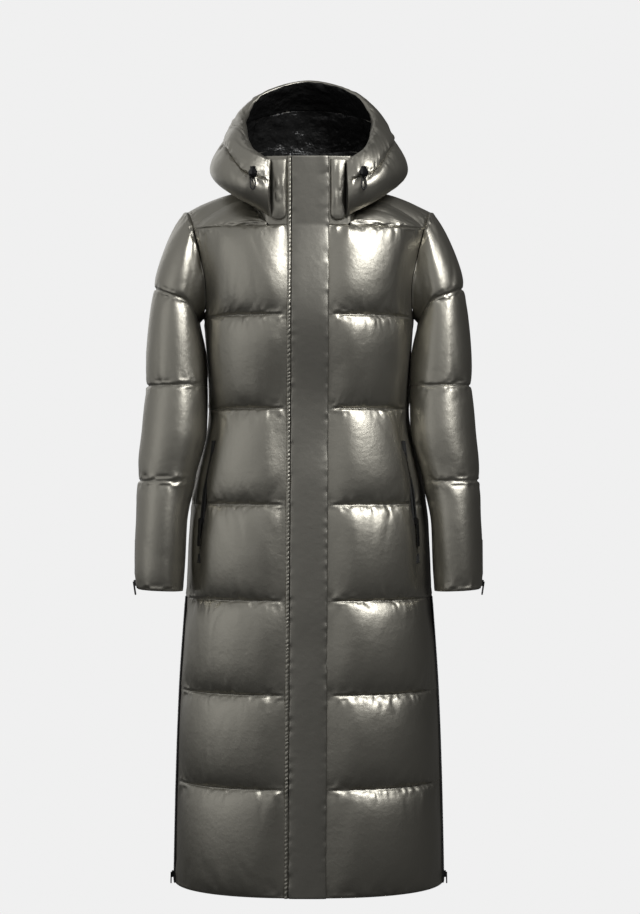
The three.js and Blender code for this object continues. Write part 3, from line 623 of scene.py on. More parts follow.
@dataclass(frozen=True)
class Finish:
    """A finish of the coat: colour, gloss and fine relief."""

    name: str
    colour: tuple[float, float, float]
    metallic: float = 0.0
    roughness: float = 0.5
    roughness_spread: float = 0.0
    relief: float = 0.0
    relief_scale: float = 300.0
    relief_depth: float = 0.0004

    def build(self) -> bpy.types.Material:
        """Makes the material.

        Returns:
            The material.
        """
        shader = Shader(self.name)
        main = shader.main.inputs
        main["Base Color"].default_value = (*self.colour, 1)
        main["Metallic"].default_value = self.metallic
        main["Roughness"].default_value = self.roughness
        if self.roughness_spread:
            smoothest = self.roughness - self.roughness_spread / 2
            cloud = shader.noise(CLOUD_SCALE, 3.0)
            shader.feed(main["Roughness"], cloud * self.roughness_spread + smoothest)
        if self.relief:
            fine = shader.noise(self.relief_scale, 4.0)
            coarse = shader.noise(self.relief_scale * COARSE_SHARE, 2.0)
            bump = shader.node("ShaderNodeBump", sockets={
                "Height": fine + coarse * 2.0, "Strength": self.relief, "Distance": self.relief_depth,
            })
            shader.feed(main["Normal"], shader.wire(bump, "Normal"))
        return shader.material


FINISHES = {
    "shell": Finish("shell", (0.36, 0.345, 0.30), metallic=0.94, roughness=0.42, roughness_spread=0.06,
                    relief=0.35, relief_scale=150.0, relief_depth=0.0008),
    "lining": Finish("lining", (0.03, 0.03, 0.03), metallic=0.5, roughness=0.24, relief=1.0,
                     relief_scale=60.0, relief_depth=0.006),
    "placket": Finish("placket", (0.26, 0.25, 0.22), metallic=0.85, roughness=0.42, roughness_spread=0.05,
                      relief=0.3, relief_scale=120.0, relief_depth=0.0008),
    "tape": Finish("tape", (0.018, 0.018, 0.018), roughness=0.75, relief=0.4, relief_scale=900.0),
    "metal": Finish("metal", (0.05, 0.05, 0.052), metallic=0.9, roughness=0.30),
    "lock": Finish("lock", (0.008, 0.008, 0.009), roughness=0.12),
    "cord": Finish("cord", (0.012, 0.012, 0.012), roughness=0.6, relief=0.5, relief_scale=1400.0),
    "thread": Finish("thread", (0.11, 0.105, 0.09), metallic=0.2, roughness=0.5),
    "patch": Finish("patch", (0.02, 0.02, 0.021), roughness=0.45, relief=0.2, relief_scale=700.0),
}


class Palette:
    """The coat's materials, made once."""

    def __init__(self) -> None:
        """Makes every finish."""
        self.made = {name: finish.build() for name, finish in FINISHES.items()}

    def __getitem__(self, name: str) -> bpy.types.Material:
        """Material of the finish with this name."""
        return self.made[name]


# The torso's surface


def placket_centre(height: Values) -> Array:
    """Side place of the placket's middle, which runs a little off the upright."""
    share = (np.minimum(height, YOKE_SEAM_HEIGHT) - HEM_HEIGHT) / (YOKE_SEAM_HEIGHT - HEM_HEIGHT)
    return lerp(PLACKET_AT_HEM, PLACKET_AT_YOKE, share)


def torso_point(angle: Values, height: Values) -> Array:
    """Points of the torso.

    Args:
        angle: 0 at the centre front, growing towards the left side.
        height: the points' heights.

    Returns:
        A point for each angle and height.
    """
    angle, height = np.broadcast_arrays(np.asarray(angle, float), np.asarray(height, float))
    width = read(TORSO, "height", "half_width", height)
    front = read(TORSO, "height", "front", height)
    back = read(TORSO, "height", "back", height)
    s, c = np.sin(angle), np.cos(angle)
    depth = np.where(c > 0, front, back)
    x = width * np.sign(s) * np.abs(s) ** RING_POWER
    y = TORSO_CENTRE_Y - depth * np.sign(c) * np.abs(c) ** RING_POWER
    return np.stack([x, y, height], axis=-1)


def angle_at_x(x: Values, height: Values) -> Array:
    """Angle of the torso's front at a side place."""
    width = read(TORSO, "height", "half_width", height)
    return np.arcsin((np.abs(x) / width) ** (1 / RING_POWER)) * np.sign(x)


def side_angle(column: str, height: Values) -> Array:
    """Angle in radians at which the front or the back ends.

    Args:
        column: the field of SideEdge to read.
        height: where to read it.

    Returns:
        The angles.
    """
    height = np.asarray(height, float)
    above = read(SIDE_EDGE, "height", column, height)
    return np.radians(np.where(height <= UNDERARM_HEIGHT, SIDE_SEAM_ANGLE, above))


ROWS_CROWD = 0.085


def baffle_rows(seams: Sequence[float], steps: int) -> tuple[Array, Array, Array]:
    """Rows between seams, closer together by the seams.

    Args:
        seams: places of the seams, in order.
        steps: rows in each baffle.

    Returns:
        The rows' places, their shares of the baffle and the baffle's number.
    """
    share = np.arange(steps) / steps
    share = share - ROWS_CROWD * np.sin(2 * np.pi * share)
    places, shares, numbers = [], [], []
    for k, (low, high) in enumerate(zip(seams, seams[1:])):
        places.append(lerp(low, high, share))
        shares.append(share)
        numbers.append(np.full(steps, k))
    places.append([seams[-1]])
    shares.append([1.0])
    numbers.append([len(seams) - 2])
    return np.concatenate(places), np.concatenate(shares), np.concatenate(numbers)


def refine(grid: Grid, tube: bool) -> Grid:
    """Grid with a new point between each two, set by the four-point scheme.

    Args:
        grid: rows by columns of points.
        tube: whether the last column joins the first.

    Returns:
        The grid with 2n - 1 rows, and 2n - 1 columns or 2n round a tube.
    """

    def between(line: Array, closed: bool) -> Array:
        """Points between the rows of a line of rows.

        Args:
            line: the rows.
            closed: whether the last row joins the first.

        Returns:
            The points, one row fewer than the line has unless it is closed.
        """
        if closed:
            padded = np.concatenate([line[-1:], line, line[:2]])
        else:
            padded = np.concatenate([2 * line[:1] - line[1:2], line, 2 * line[-1:] - line[-2:-1]])
        return (9 * (padded[1:-2] + padded[2:-1]) - padded[:-3] - padded[3:]) / 16

    def doubled(line: Array, closed: bool) -> Array:
        """A line of rows with the points between them set in.

        Args:
            line: the rows.
            closed: whether the last row joins the first.

        Returns:
            The longer line.
        """
        added = between(line, closed)
        made = np.empty((len(line) + len(added), *line.shape[1:]))
        made[0::2], made[1::2] = line, added
        return made

    tall = doubled(grid, False)
    return doubled(tall.swapaxes(0, 1), tube).swapaxes(0, 1)


@dataclass(frozen=True)
class Filling:
    """Cloth simulation that blows a panel out between its sewn seams."""

    surplus: float = 0.014
    pressure: float = 4.0
    start_share: float = 0.9
    roughen: float = 0.2
    most_move: float = 8.0
    last_frame: int = 16
    smoothing_rounds: int = 20
    smooth_beyond: float = 24.0
    quality: int = 6
    mass: float = 0.12
    stretch_stiffness: float = 18
    shear_stiffness: float = 8
    bending_stiffness: float = 1.2

    def smoothed(self, move: Array, seam_distance: Array, tube: bool) -> Array:
        """Evens out the moves away from the seams, where the filling holds the cloth tight.

        Args:
            move: how far each point has moved.
            seam_distance: distance of each point to its nearest seam.
            tube: whether the last column joins the first.

        Returns:
            The evened moves.
        """
        weight = 0.5 * smooth(0.25 * self.smooth_beyond, self.smooth_beyond, seam_distance)[..., None]
        for _ in range(self.smoothing_rounds):
            near = (np.roll(move, 1, axis=0) + np.roll(move, -1, axis=0)) / 2
            aside = (np.roll(move, 1, axis=1) + np.roll(move, -1, axis=1)) / 2
            mean = (near + aside) / 2
            mean[[0, -1]] = move[[0, -1]]
            if not tube:
                mean[:, [0, -1]] = move[:, [0, -1]]
            move = lerp(move, mean, weight)
        return move

    def settle(self, base: Grid, puff: Array, normals: Array, sewn: Array, tube: bool, seed: int) -> Array:
        """Runs the cloth on a coarse grid of the panel.

        Args:
            base: points of the panel, unfilled.
            puff: height of the filling at each point.
            normals: outward directions.
            sewn: which points are held by a seam.
            tube: whether the last column joins the first.
            seed: picks the small unevenness that the creases grow from.

        Returns:
            How far each point has moved from base, in millimetres, three numbers each.
        """
        rng = np.random.default_rng(seed)
        uneven = rng.uniform(-1, 1, puff.shape) * self.roughen * (puff > 1)
        lift = puff * self.start_share + uneven
        start = base + normals * lift[..., None]
        index = np.arange(puff.size).reshape(puff.shape)
        if tube:
            index = np.concatenate([index, index[:, :1]], axis=1)
        quads = np.stack([index[:-1, :-1], index[:-1, 1:], index[1:, 1:], index[1:, :-1]], -1).reshape(-1, 4)
        p = start.reshape(-1, 3)[quads]
        face = np.cross(p[:, 2] - p[:, 0], p[:, 3] - p[:, 1])
        if np.sum(face * normals.reshape(-1, 3)[quads[:, 0]]) < 0:
            quads = quads[:, ::-1]
        made = self.cloth_object(start.reshape(-1, 3), quads, np.flatnonzero(sewn.ravel()))
        points = self.run(made, puff.size)
        move = points.reshape(*puff.shape, 3) / MM - start
        far = np.linalg.norm(move, axis=-1, keepdims=True)
        move = move * np.minimum(1, self.most_move / np.maximum(far, 1e-6))
        return start + move - base

    def cloth_object(self, points: Array, quads: Array, sewn: Array) -> bpy.types.Object:
        """Makes a mesh with the cloth simulation on it.

        Args:
            points: where the cloth starts.
            quads: its faces.
            sewn: numbers of the points that are held.

        Returns:
            The object.
        """
        made = mesh_object("filling", points, quads, [])
        group = made.vertex_groups.new(name="sewn")
        group.add(sewn.tolist(), 1.0, "REPLACE")
        modifier = made.modifiers.new("cloth", "CLOTH")
        cloth = modifier.settings
        cloth.quality = self.quality
        cloth.mass = self.mass
        cloth.tension_stiffness = self.stretch_stiffness
        cloth.compression_stiffness = self.stretch_stiffness
        cloth.shear_stiffness = self.shear_stiffness
        cloth.bending_stiffness = self.bending_stiffness
        cloth.shrink_min = -self.surplus
        cloth.vertex_group_mass = "sewn"
        cloth.use_pressure = True
        cloth.uniform_pressure_force = self.pressure
        cloth.effector_weights.gravity = 0
        modifier.collision_settings.use_collision = False
        return made

    def run(self, made: bpy.types.Object, count: int) -> Array:
        """Runs the simulation to its last frame and removes the object.

        Args:
            made: the cloth.
            count: how many points it has.

        Returns:
            Where the points end, in metres, as one row of numbers.
        """
        scene = bpy.context.scene
        for number in range(1, self.last_frame + 1):
            scene.frame_set(number)
        evaluated = made.evaluated_get(bpy.context.evaluated_depsgraph_get())
        points = np.empty(count * 3, np.float32)
        evaluated.data.vertices.foreach_get("co", points)
        scene.frame_set(1)
        bpy.data.objects.remove(made)
        return points


@dataclass
class Panel:
    """A padded panel: its base points, how high the filling lifts them and where its seams are.

    along, below and above are distances along the seam and to the seams below and above each point.
    baffle is the number of the baffle, edge_fade shrinks the relief towards bound edges, and centre is
    a point inside the coat.
    """

    name: str
    base: Grid
    puff: Array
    along: Array
    below: Array
    above: Array
    baffle: Array
    centre: Array
    tube: bool = False
    thickness: float = CLOTH
    inner_puff: float = 0.0
    soft: float = 1.0
    fill: float = 0.7
    slot: str = "shell"
    edge_fade: Array = field(default_factory=lambda: np.ones(1))

    def normals(self) -> Array:
        """Outward directions over the panel."""
        return grid_normals(self.base, self.centre, self.tube)

    def outer(self, seed: int) -> Grid:
        """Outer points: filled, creased at the seams and softly folded.

        Args:
            seed: picks the crease pattern.

        Returns:
            The points, in millimetres.
        """
        noise = Noise(seed)
        normals = self.normals()
        crease = puckers(self.along, self.below, self.above, self.baffle, noise)
        nearest = np.minimum(self.below, self.above)
        crease = self.soft * crease * (1 - np.exp(-nearest / 3.0)) * self.edge_fade
        blown = refine(self.blown(seed, normals), self.tube)
        return self.base + blown + normals * crease[..., None]

    def blown(self, seed: int, normals: Array) -> Array:
        """Moves of every second point after the cloth has been filled.

        Args:
            seed: picks the small unevenness that the filling starts from.
            normals: outward directions over the panel.

        Returns:
            How far each of those points has moved from the base.
        """
        coarse = (slice(None, None, 2), slice(None, None, 2))
        puff = (self.puff * self.edge_fade)[coarse]
        share = self.below / (self.below + self.above)
        on_seam = (share < ON_SEAM) | (share > 1 - ON_SEAM)
        sewn = np.broadcast_to(on_seam, self.puff.shape)[coarse].copy()
        sewn[[0, -1]] = True
        if not self.tube:
            sewn[:, [0, -1]] = True
        sewn |= puff < 0.4
        move = FILLING.settle(self.base[coarse], puff, normals[coarse], sewn, self.tube, seed)
        nearest = np.broadcast_to(np.minimum(self.below, self.above), self.puff.shape)[coarse]
        return FILLING.smoothed(move, nearest, self.tube)

    def inner(self, seed: int) -> Grid:
        """Inner points: the lining, a little crinkled.

        Args:
            seed: picks the crinkles.

        Returns:
            The points, in millimetres.
        """
        noise = Noise(seed + 1)
        crinkle = 1.4 * np.abs(noise(self.along / 11, self.below / 14 + self.baffle * 5)) * self.edge_fade
        depth = self.thickness + crinkle
        if self.inner_puff:
            depth = depth + self.inner_puff * self.puff / max(self.puff.max(), 1e-6)
            fold = noise(self.along / 26, self.below / 30 + self.baffle * 5)
            depth = depth + 2.4 * np.abs(fold) * self.edge_fade
        return self.base - self.normals() * np.broadcast_to(depth, self.puff.shape)[..., None]

    def build(self, palette: Palette, seed: int) -> bpy.types.Object:
        """Makes the panel's object, which stands for its CAD node.

        Args:
            palette: the materials.
            seed: picks the crease pattern.

        Returns:
            The object.
        """
        points, quads, outer_faces = closed_wall(self.outer(seed), self.inner(seed), self.tube)
        slots = np.zeros(len(quads), int)
        slots[outer_faces : 2 * outer_faces] = 1
        cloths = [palette[self.slot], palette["lining"]]
        made = mesh_object(self.name + "_cloth", points, quads, cloths, slots)
        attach(made, BODY)
        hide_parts(self.name)
        LOG.info("%s: %d faces", self.name, len(quads))
        return made


FILLING = Filling()


def arc_along(grid: Grid) -> Array:
    """Distance along each row of a grid, in millimetres."""
    steps = np.linalg.norm(np.diff(grid, axis=1), axis=-1)
    return np.concatenate([np.zeros((len(grid), 1)), np.cumsum(steps, axis=1)], axis=1)


@dataclass
class Torso:
    """The two fronts, the back and the yokes."""

    steps: int = 40
    front_columns: int = 97
    back_columns: int = 151
    yoke_rows: int = 40
    front_yoke_columns: int = 85
    back_yoke_columns: int = 151
    side_fade_from: float = 0.55
    covered_to: float = 0.03
    bound_from: float = 0.96
    pocket_ease: float = 30.0
    yoke_crown: float = 0.16
    yoke_full_width: float = 70.0

    def rows(self) -> tuple[Array, Array, Array]:
        """Rows of the long panels, with the chest seam at the underarm.

        Returns:
            Their heights, their shares of the baffle and the baffle's number.
        """
        seams = [ring.height for ring in TORSO]
        seams[-2] = UNDERARM_HEIGHT
        return baffle_rows(seams, self.steps)

    @staticmethod
    def distances(share: Array, baffle: Array) -> tuple[Array, Array]:
        """Distances to the seams below and above each row.

        Args:
            share: the rows' shares of the baffle.
            baffle: their baffles' numbers.

        Returns:
            The distances below and above, as columns.
        """
        seams = np.array([ring.height for ring in TORSO], float)
        seams[-2] = UNDERARM_HEIGHT
        tall = np.diff(seams)[baffle]
        return (share * tall)[:, None], ((1 - share) * tall)[:, None]

    def front(self, name: str) -> Panel:
        """One front panel, from the zip to the side seam and the armhole.

        Args:
            name: the side, right or left.

        Returns:
            The panel.
        """
        side = SIDES[name]
        heights, share, baffle = self.rows()
        middle = placket_centre(heights)
        edge = side * side_angle("front_angle", heights)
        flat = angle_at_x(middle + side * FRONT_FLAT[name], heights)
        start = angle_at_x(middle + side * ZIP_HALF_WIDTH, heights)
        s = np.linspace(0, 1, self.front_columns)[None, :]
        angle = lerp(start[:, None], edge[:, None], s)
        base = torso_point(angle, heights[:, None] + 0 * s)
        place = np.clip((angle - flat[:, None]) / (edge - flat)[:, None], 0, 1)
        shares = [0, PLACKET_TUCK, *FRONT_SHARES[1:]]
        shape = soft_steps(place, shares, [0, PLACKET_TUCK_PUFF, *FRONT_PUFF[1:]])
        side_puff = read(TORSO, "height", "side_puff", heights)[:, None]
        fade = lerp(1, side_puff, smooth(self.side_fade_from, 1, place))
        puff = BODY_PUFF * puff_profile(share)[:, None] * shape * fade
        shut = self.pocket_hold(heights, place)
        puff = puff * (1 - shut)
        below, above = self.distances(share, baffle)
        covered = smooth(0, self.covered_to, place)
        bound = smooth(self.bound_from, 1, place)
        edge_fade = covered * (1 - 0.9 * bound) * (1 - 0.85 * shut)
        along = arc_along(base) + PATTERN_START["front"] * side
        return Panel(f"front_{name}", base, puff, along, below, above, baffle[:, None], BODY_MIDDLE,
                     edge_fade=edge_fade)

    def pocket_hold(self, heights: Array, place: Array) -> Array:
        """How firmly the pocket's zip holds the filling down.

        Args:
            heights: the rows' heights.
            place: shares across the front, from the placket's edge to the side.

        Returns:
            1 on the zip, falling to 0 around it.
        """
        low, high = POCKET_SHARES
        over_end = smooth(POCKET_BOTTOM - self.pocket_ease, POCKET_BOTTOM, heights)
        under_top = 1 - smooth(POCKET_TOP, POCKET_TOP + self.pocket_ease, heights)
        on_zip = smooth(low - 0.05, low, place) * (1 - smooth(high, high + 0.03, place))
        return (over_end * under_top)[:, None] * on_zip

    def back(self) -> Panel:
        """The back, from side seam to side seam.

        Returns:
            The panel.
        """
        heights, share, baffle = self.rows()
        edge = side_angle("back_angle", heights)[:, None]
        s = np.linspace(0, 1, self.back_columns)[None, :]
        angle = lerp(edge, 2 * np.pi - edge, s)
        base = torso_point(angle, heights[:, None] + 0 * s)
        side_puff = read(TORSO, "height", "side_puff", heights)[:, None]
        fade = lerp(side_puff, 1, smooth(0, 0.3, np.minimum(s, 1 - s)))
        puff = BODY_PUFF * puff_profile(share)[:, None] * soft_steps(s, BACK_SHARES, BACK_PUFF) * fade
        below, above = self.distances(share, baffle)
        edge_fade = smooth(0, 0.03, s) * (1 - smooth(0.97, 1, s)) * 0.9 + 0.1
        along = arc_along(base) + PATTERN_START["back"]
        return Panel("back", base, puff, along, below, above, baffle[:, None], BODY_MIDDLE,
                     edge_fade=edge_fade)

    @staticmethod
    def yoke_armhole(side: int, rear: bool, t: Values) -> Array:
        """Points of the armhole on a yoke.

        Args:
            side: 1 for the left, -1 for the right.
            rear: whether the yoke is the back one.
            t: places from the yoke seam's corner (0) to the shoulder (1).

        Returns:
            The points.
        """
        column = "back_angle" if rear else "front_angle"
        angle = side_angle(column, YOKE_SEAM_HEIGHT)
        corner = torso_point(side * angle, YOKE_SEAM_HEIGHT)
        top = SHOULDER_POINT * [side, 1, 1]
        control = (corner + top) / 2 + ARMHOLE_LIFT * [side, 1, 1]
        control[1] += (corner[1] - top[1]) * ARMHOLE_BACK_SHARE
        return bezier([corner, control, top], t)

    @staticmethod
    def neck(side: int, corner: Optional[Array], t: Values) -> Array:
        """Points of the neck seam from the side of the neck.

        Args:
            side: 1 for the left, -1 for the right.
            corner: the front corner to run to, or nothing to run to the centre back.
            t: shares of the seam.

        Returns:
            The points.
        """
        start = NECK_SIDE * [side, 1, 1]
        if corner is None:
            return bezier([start, (side * 92, 44, 36), (side * 45, NECK_BACK[1], NECK_BACK[2]), NECK_BACK], t)
        return bezier([start, (side * 99, -42, 16), (side * 89, corner[1] + 22, -22), corner], t)

    def front_top(self, name: str, place: Values) -> Array:
        """Points of the yoke seam on a front.

        Args:
            name: the side, right or left.
            place: shares from the placket's edge to the side.

        Returns:
            The points.
        """
        side = SIDES[name]
        middle = placket_centre(YOKE_SEAM_HEIGHT)
        flat = angle_at_x(middle + side * FRONT_FLAT[name], YOKE_SEAM_HEIGHT)
        edge = side * side_angle("front_angle", YOKE_SEAM_HEIGHT)
        return torso_point(lerp(flat, edge, np.asarray(place, float)), YOKE_SEAM_HEIGHT)

    def front_corner(self, name: str) -> Array:
        """Front corner of the neck seam on the side with this name."""
        corner = self.front_top(name, FRONT_SHARES[1])
        corner[2] = NECK_FRONT_HEIGHT
        return corner

    def yoke(self, name: str, outer_path: Array, neck_path: Array, ends: Array) -> Panel:
        """A yoke between its outer path and the neck seam.

        Args:
            name: the CAD node's name.
            outer_path: points along the armhole and the yoke seam.
            neck_path: as many points along the neck.
            ends: how far each point is from the yoke's two ends.

        Returns:
            The panel.
        """
        _, share, baffle = baffle_rows([0, 1], self.yoke_rows)
        t = share[:, None, None]
        base = lerp(outer_path[None], neck_path[None], t)
        low = np.minimum(base[..., 2], -90)
        foot = np.stack([base[..., 0] * 0.6, np.full(base.shape[:2], 10.0), low], -1)
        wide = np.linalg.norm(neck_path - outer_path, axis=-1)
        crown = self.yoke_crown * wide[None, :] * (t * (1 - t))[..., 0]
        base = base + unit(base - foot) * crown[..., None]
        reach = np.minimum(1, wide / self.yoke_full_width)[None, :]
        puff = YOKE_PUFF * puff_profile(share)[:, None] * reach * puff_profile(np.minimum(0.5, ends))[None, :]
        along = arc_along(base) + PATTERN_START["yoke"]
        edge_fade = smooth(0, 0.12, ends)[None, :] * np.ones_like(along)
        return Panel(name, base, puff, along, share[:, None] * wide, (1 - share)[:, None] * wide,
                     baffle[:, None], np.array([0, 10, -200]), soft=0.8, edge_fade=edge_fade)

    def front_yoke(self, name: str) -> Panel:
        """One front yoke, over the shoulder from the armhole to the neck.

        Args:
            name: the side, right or left.

        Returns:
            The panel.
        """
        side = SIDES[name]
        c = np.linspace(0, 10, self.front_yoke_columns)
        arm = self.yoke_armhole(side, False, np.clip(1 - c / 4, 0, 1))
        shares = np.interp(c, np.arange(4, 11), FRONT_SHARES[:0:-1])
        seam = self.front_top(name, shares)
        path = np.where((c < 4)[:, None], arm, seam)
        neck = self.neck(side, self.front_corner(name), c / 10)
        return self.yoke(f"yoke_front_{name}", path, neck, np.minimum(c, 10 - c) / 8)

    def back_yoke(self) -> Panel:
        """The back yoke, from armhole to armhole.

        Returns:
            The panel.
        """
        c = np.linspace(0, 18, self.back_yoke_columns)
        left = self.yoke_armhole(1, True, np.clip(1 - c / 4, 0, 1))
        right = self.yoke_armhole(-1, True, np.clip((c - 14) / 4, 0, 1))
        edge = side_angle("back_angle", YOKE_SEAM_HEIGHT)
        shares = np.interp(c, np.arange(4, 15), BACK_SHARES)
        seam = torso_point(lerp(edge, 2 * np.pi - edge, shares), YOKE_SEAM_HEIGHT)
        path = np.where((c < 4)[:, None], left, np.where((c > 14)[:, None], right, seam))
        share = c / 18
        near = self.neck(1, None, np.clip(2 * share, 0, 1))
        far = self.neck(-1, None, np.clip(2 - 2 * share, 0, 1))
        neck = np.where((share < 0.5)[:, None], near, far)
        return self.yoke("yoke_back", path, neck, np.minimum(c, 18 - c) / 8)

    def armhole(self, side: int, w: Array) -> Array:
        """Points of the armhole.

        Args:
            side: 1 for the left, -1 for the right.
            w: places, 0 to 16, from the underarm by the front and over the shoulder.

        Returns:
            The points.
        """
        steps = [0, 0.14, 0.5, 0.86, 1]
        rise = [lerp(UNDERARM_HEIGHT, YOKE_SEAM_HEIGHT, t) for t in steps]
        height = np.interp(np.minimum(w, 16 - w), np.arange(5), rise)
        front = torso_point(side * side_angle("front_angle", height), height)
        back = torso_point(side * side_angle("back_angle", height), height)
        up = self.yoke_armhole(side, False, np.clip((w - 4) / 4, 0, 1))
        down = self.yoke_armhole(side, True, np.clip((12 - w) / 4, 0, 1))
        made = np.where((w < 4)[:, None], front, back)
        made = np.where(((w >= 4) & (w <= 8))[:, None], up, made)
        return np.where(((w > 8) & (w <= 12))[:, None], down, made)

    def build(self, palette: Palette) -> None:
        """Makes the torso's panels.

        Args:
            palette: the materials.
        """
        for k, name in enumerate(SIDES):
            self.front(name).build(palette, FRONT_SEED + k)
            self.front_yoke(name).build(palette, FRONT_YOKE_SEED + k)
        self.back().build(palette, BACK_SEED)
        self.back_yoke().build(palette, BACK_YOKE_SEED)


@dataclass
class Sleeve:
    """One sleeve, a tube in four baffles from the armhole to the cuff."""

    side_name: str
    torso: Torso
    columns: int = 96
    steps: int = 44
    baffle_heights: tuple = (120, 144, 169, 193)
    full_cap: float = 110.0
    pattern_width: float = 22.0
    inner_side: tuple = (0.2, 0.9)

    def ring(self, at: Array, w: Array) -> Array:
        """Points of the sleeve below the first seam.

        Args:
            at: places down the sleeve, in seams.
            w: places round it, 0 to SLEEVE_SIDES.

        Returns:
            Rows by columns of points.
        """
        side = SIDES[self.side_name]
        angle = np.radians(180 - 360 / SLEEVE_SIDES * w)[None, :]
        c, s = np.cos(angle), np.sin(angle)

        def get(column: str) -> Array:
            """A column of the table, read down the sleeve."""
            return read(SLEEVE, "seam", column, at)[:, None]

        def bend(value: Array) -> Array:
            """A sine or cosine, a little squared off."""
            return np.sign(value) * np.abs(value) ** SLEEVE_ROUNDNESS

        x = get("x") + get("across") * bend(c)
        y = get("y") - get("deep") * bend(s)
        z = get("height") + get("outer_rise") * c - get("inner_drop") * np.maximum(0, -c) ** 3
        return np.stack([side * x, y, z], axis=-1)

    def panel(self) -> Panel:
        """The sleeve's points, filling and seams.

        Returns:
            The panel.
        """
        side = SIDES[self.side_name]
        at, share, baffle = baffle_rows([0, 1, 2, 3, 4], self.steps)
        w = np.arange(self.columns) * SLEEVE_SIDES / self.columns
        loop = self.torso.armhole(side, w)
        loop[:, 0] += side
        first = self.ring(np.array([1.0]), w)[0]
        cap = lerp(loop[None], first[None], np.clip(at, 0, 1)[:, None, None])
        base = np.where((at < 1)[:, None, None], cap, self.ring(np.maximum(at, 1), w))
        cap_length = np.linalg.norm(first - loop, axis=-1)[None, :]
        reach = np.minimum(1, cap_length / self.full_cap)
        length = np.where((at < 1)[:, None], reach, 1.0)
        inward = -np.cos(np.radians(180 - 360 / SLEEVE_SIDES * w))[None, :]
        inside = smooth(*self.inner_side, inward)
        fade = lerp(1, 0.2, inside)
        full = np.where((at < 1)[:, None], CAP_PUFF, SLEEVE_PUFF)
        puff = full * puff_profile(share)[:, None] * length * fade
        tall = np.array(self.baffle_heights, float)[baffle][:, None]
        tall = np.where((baffle == 0)[:, None], cap_length, tall)
        mean = base.mean(axis=1, keepdims=True)
        spread = lerp(1.0, 0.35, inside)
        along = w[None, :] * self.pattern_width + np.zeros_like(puff) + PATTERN_START["sleeve"] * side
        return Panel(f"sleeve_{self.side_name}", base, puff, along, share[:, None] * tall,
                     (1 - share)[:, None] * tall, baffle[:, None], mean, tube=True, soft=0.85, fill=0.6,
                     edge_fade=np.broadcast_to(spread, puff.shape) * (0.25 + 0.75 * length))

    def build(self, palette: Palette) -> None:
        """Makes the sleeve in the palette's materials."""
        self.panel().build(palette, SLEEVE_SEED + SIDES[self.side_name])


@dataclass
class Hood:
    """The lowered hood: two sides, a centre panel and the brim beyond the cord channel."""

    panel_rows: int = 56
    brim_rows: int = 26
    side_columns: int = 101
    centre_columns: int = 71
    brim_columns: int = 301
    inner_puff: float = 4.0

    def __post_init__(self) -> None:
        """Mirrors the curves, which are given for the left half."""
        lines = []
        for rows in HOOD_CURVES:
            half = np.array(rows, float)
            lines.append(np.concatenate([half, half[-2::-1] * [-1, 1, 1]]))
        self.lines = np.array(lines)

    def grid(self, sections: Array, curves: Array) -> Grid:
        """Points of the hood.

        Args:
            sections: places along the curves, from the left front to the right front.
            curves: places across them, from the neck seam to the rim.

        Returns:
            Curves by sections of points.
        """
        whole = np.array([[catmull(line, s / HOOD_SECTIONS) for s in sections] for line in self.lines])
        return np.array([catmull(whole, c / RIM_CURVE) for c in curves])

    def panel(self, name: str, sections: Array, curves: Sequence[float], side: int, steps: int) -> Panel:
        """One panel of the hood between two curves.

        Args:
            name: the CAD node's name.
            sections: places along the curves.
            curves: the curves at its two seams.
            side: 1, or -1 to mirror the panel to the right.
            steps: its rows.

        Returns:
            The panel.
        """
        places, share, baffle = baffle_rows(curves, steps)
        base = self.grid(sections, places) * [side, 1, 1]
        ends = np.minimum(sections - sections[0], sections[-1] - sections) / (2 * HOOD_PUFF_SECTIONS)
        puff = HOOD_PUFF * puff_profile(share)[:, None] * puff_profile(np.minimum(0.5, ends))[None, :]
        lengths = np.cumsum(np.linalg.norm(np.diff(base, axis=0), axis=-1), axis=0)
        down = np.concatenate([np.zeros((1, len(sections))), lengths])
        centre = np.array([0, 0, 90.0])
        edge_fade = 0.1 + 0.9 * smooth(0, 0.08, ends)[None, :] + 0 * down
        along = arc_along(base) + PATTERN_START["hood"] * side
        return Panel(name, base, puff, along, down, down[-1] - down, baffle[:, None], centre,
                     inner_puff=self.inner_puff, soft=0.75, fill=0.7, edge_fade=edge_fade)

    def build(self, palette: Palette) -> None:
        """Makes the hood's four panels.

        Args:
            palette: the materials.
        """
        below_cord = [0, CHANNEL_CURVE]
        sections = np.linspace(0, HOOD_SIDE_END, self.side_columns)
        for k, (name, side) in enumerate(SIDES.items()):
            made = self.panel(f"hood_side_{name}", sections, below_cord, side, self.panel_rows)
            made.build(palette, HOOD_SIDE_SEED + k)
        sections = np.linspace(HOOD_SIDE_END, HOOD_SECTIONS - HOOD_SIDE_END, self.centre_columns)
        self.panel("hood_centre", sections, below_cord, 1, self.panel_rows).build(palette, HOOD_CENTRE_SEED)
        sections = np.linspace(0, HOOD_SECTIONS, self.brim_columns)
        brim = self.panel("hood_brim", sections, [CHANNEL_CURVE, RIM_CURVE], 1, self.brim_rows)
        brim.build(palette, HOOD_BRIM_SEED)


def laid_piece(name: str, base: Grid, lift: Array, foot: float, material: bpy.types.Material) -> bpy.types.Object:
    """Makes a piece that lies on the front, and hides the CAD node of that name.

    Args:
        name: the CAD node's name.
        base: points of the surface that it lies on.
        lift: how far its face stands off them.
        foot: how far its underside does.
        material: its material.

    Returns:
        The object.
    """
    points, quads, _ = closed_wall(base + FORWARD * lift[..., None], base + FORWARD * foot)
    made = mesh_object(name + "_cloth", points, quads, [material])
    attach(made, BODY)
    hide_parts(name)
    return made


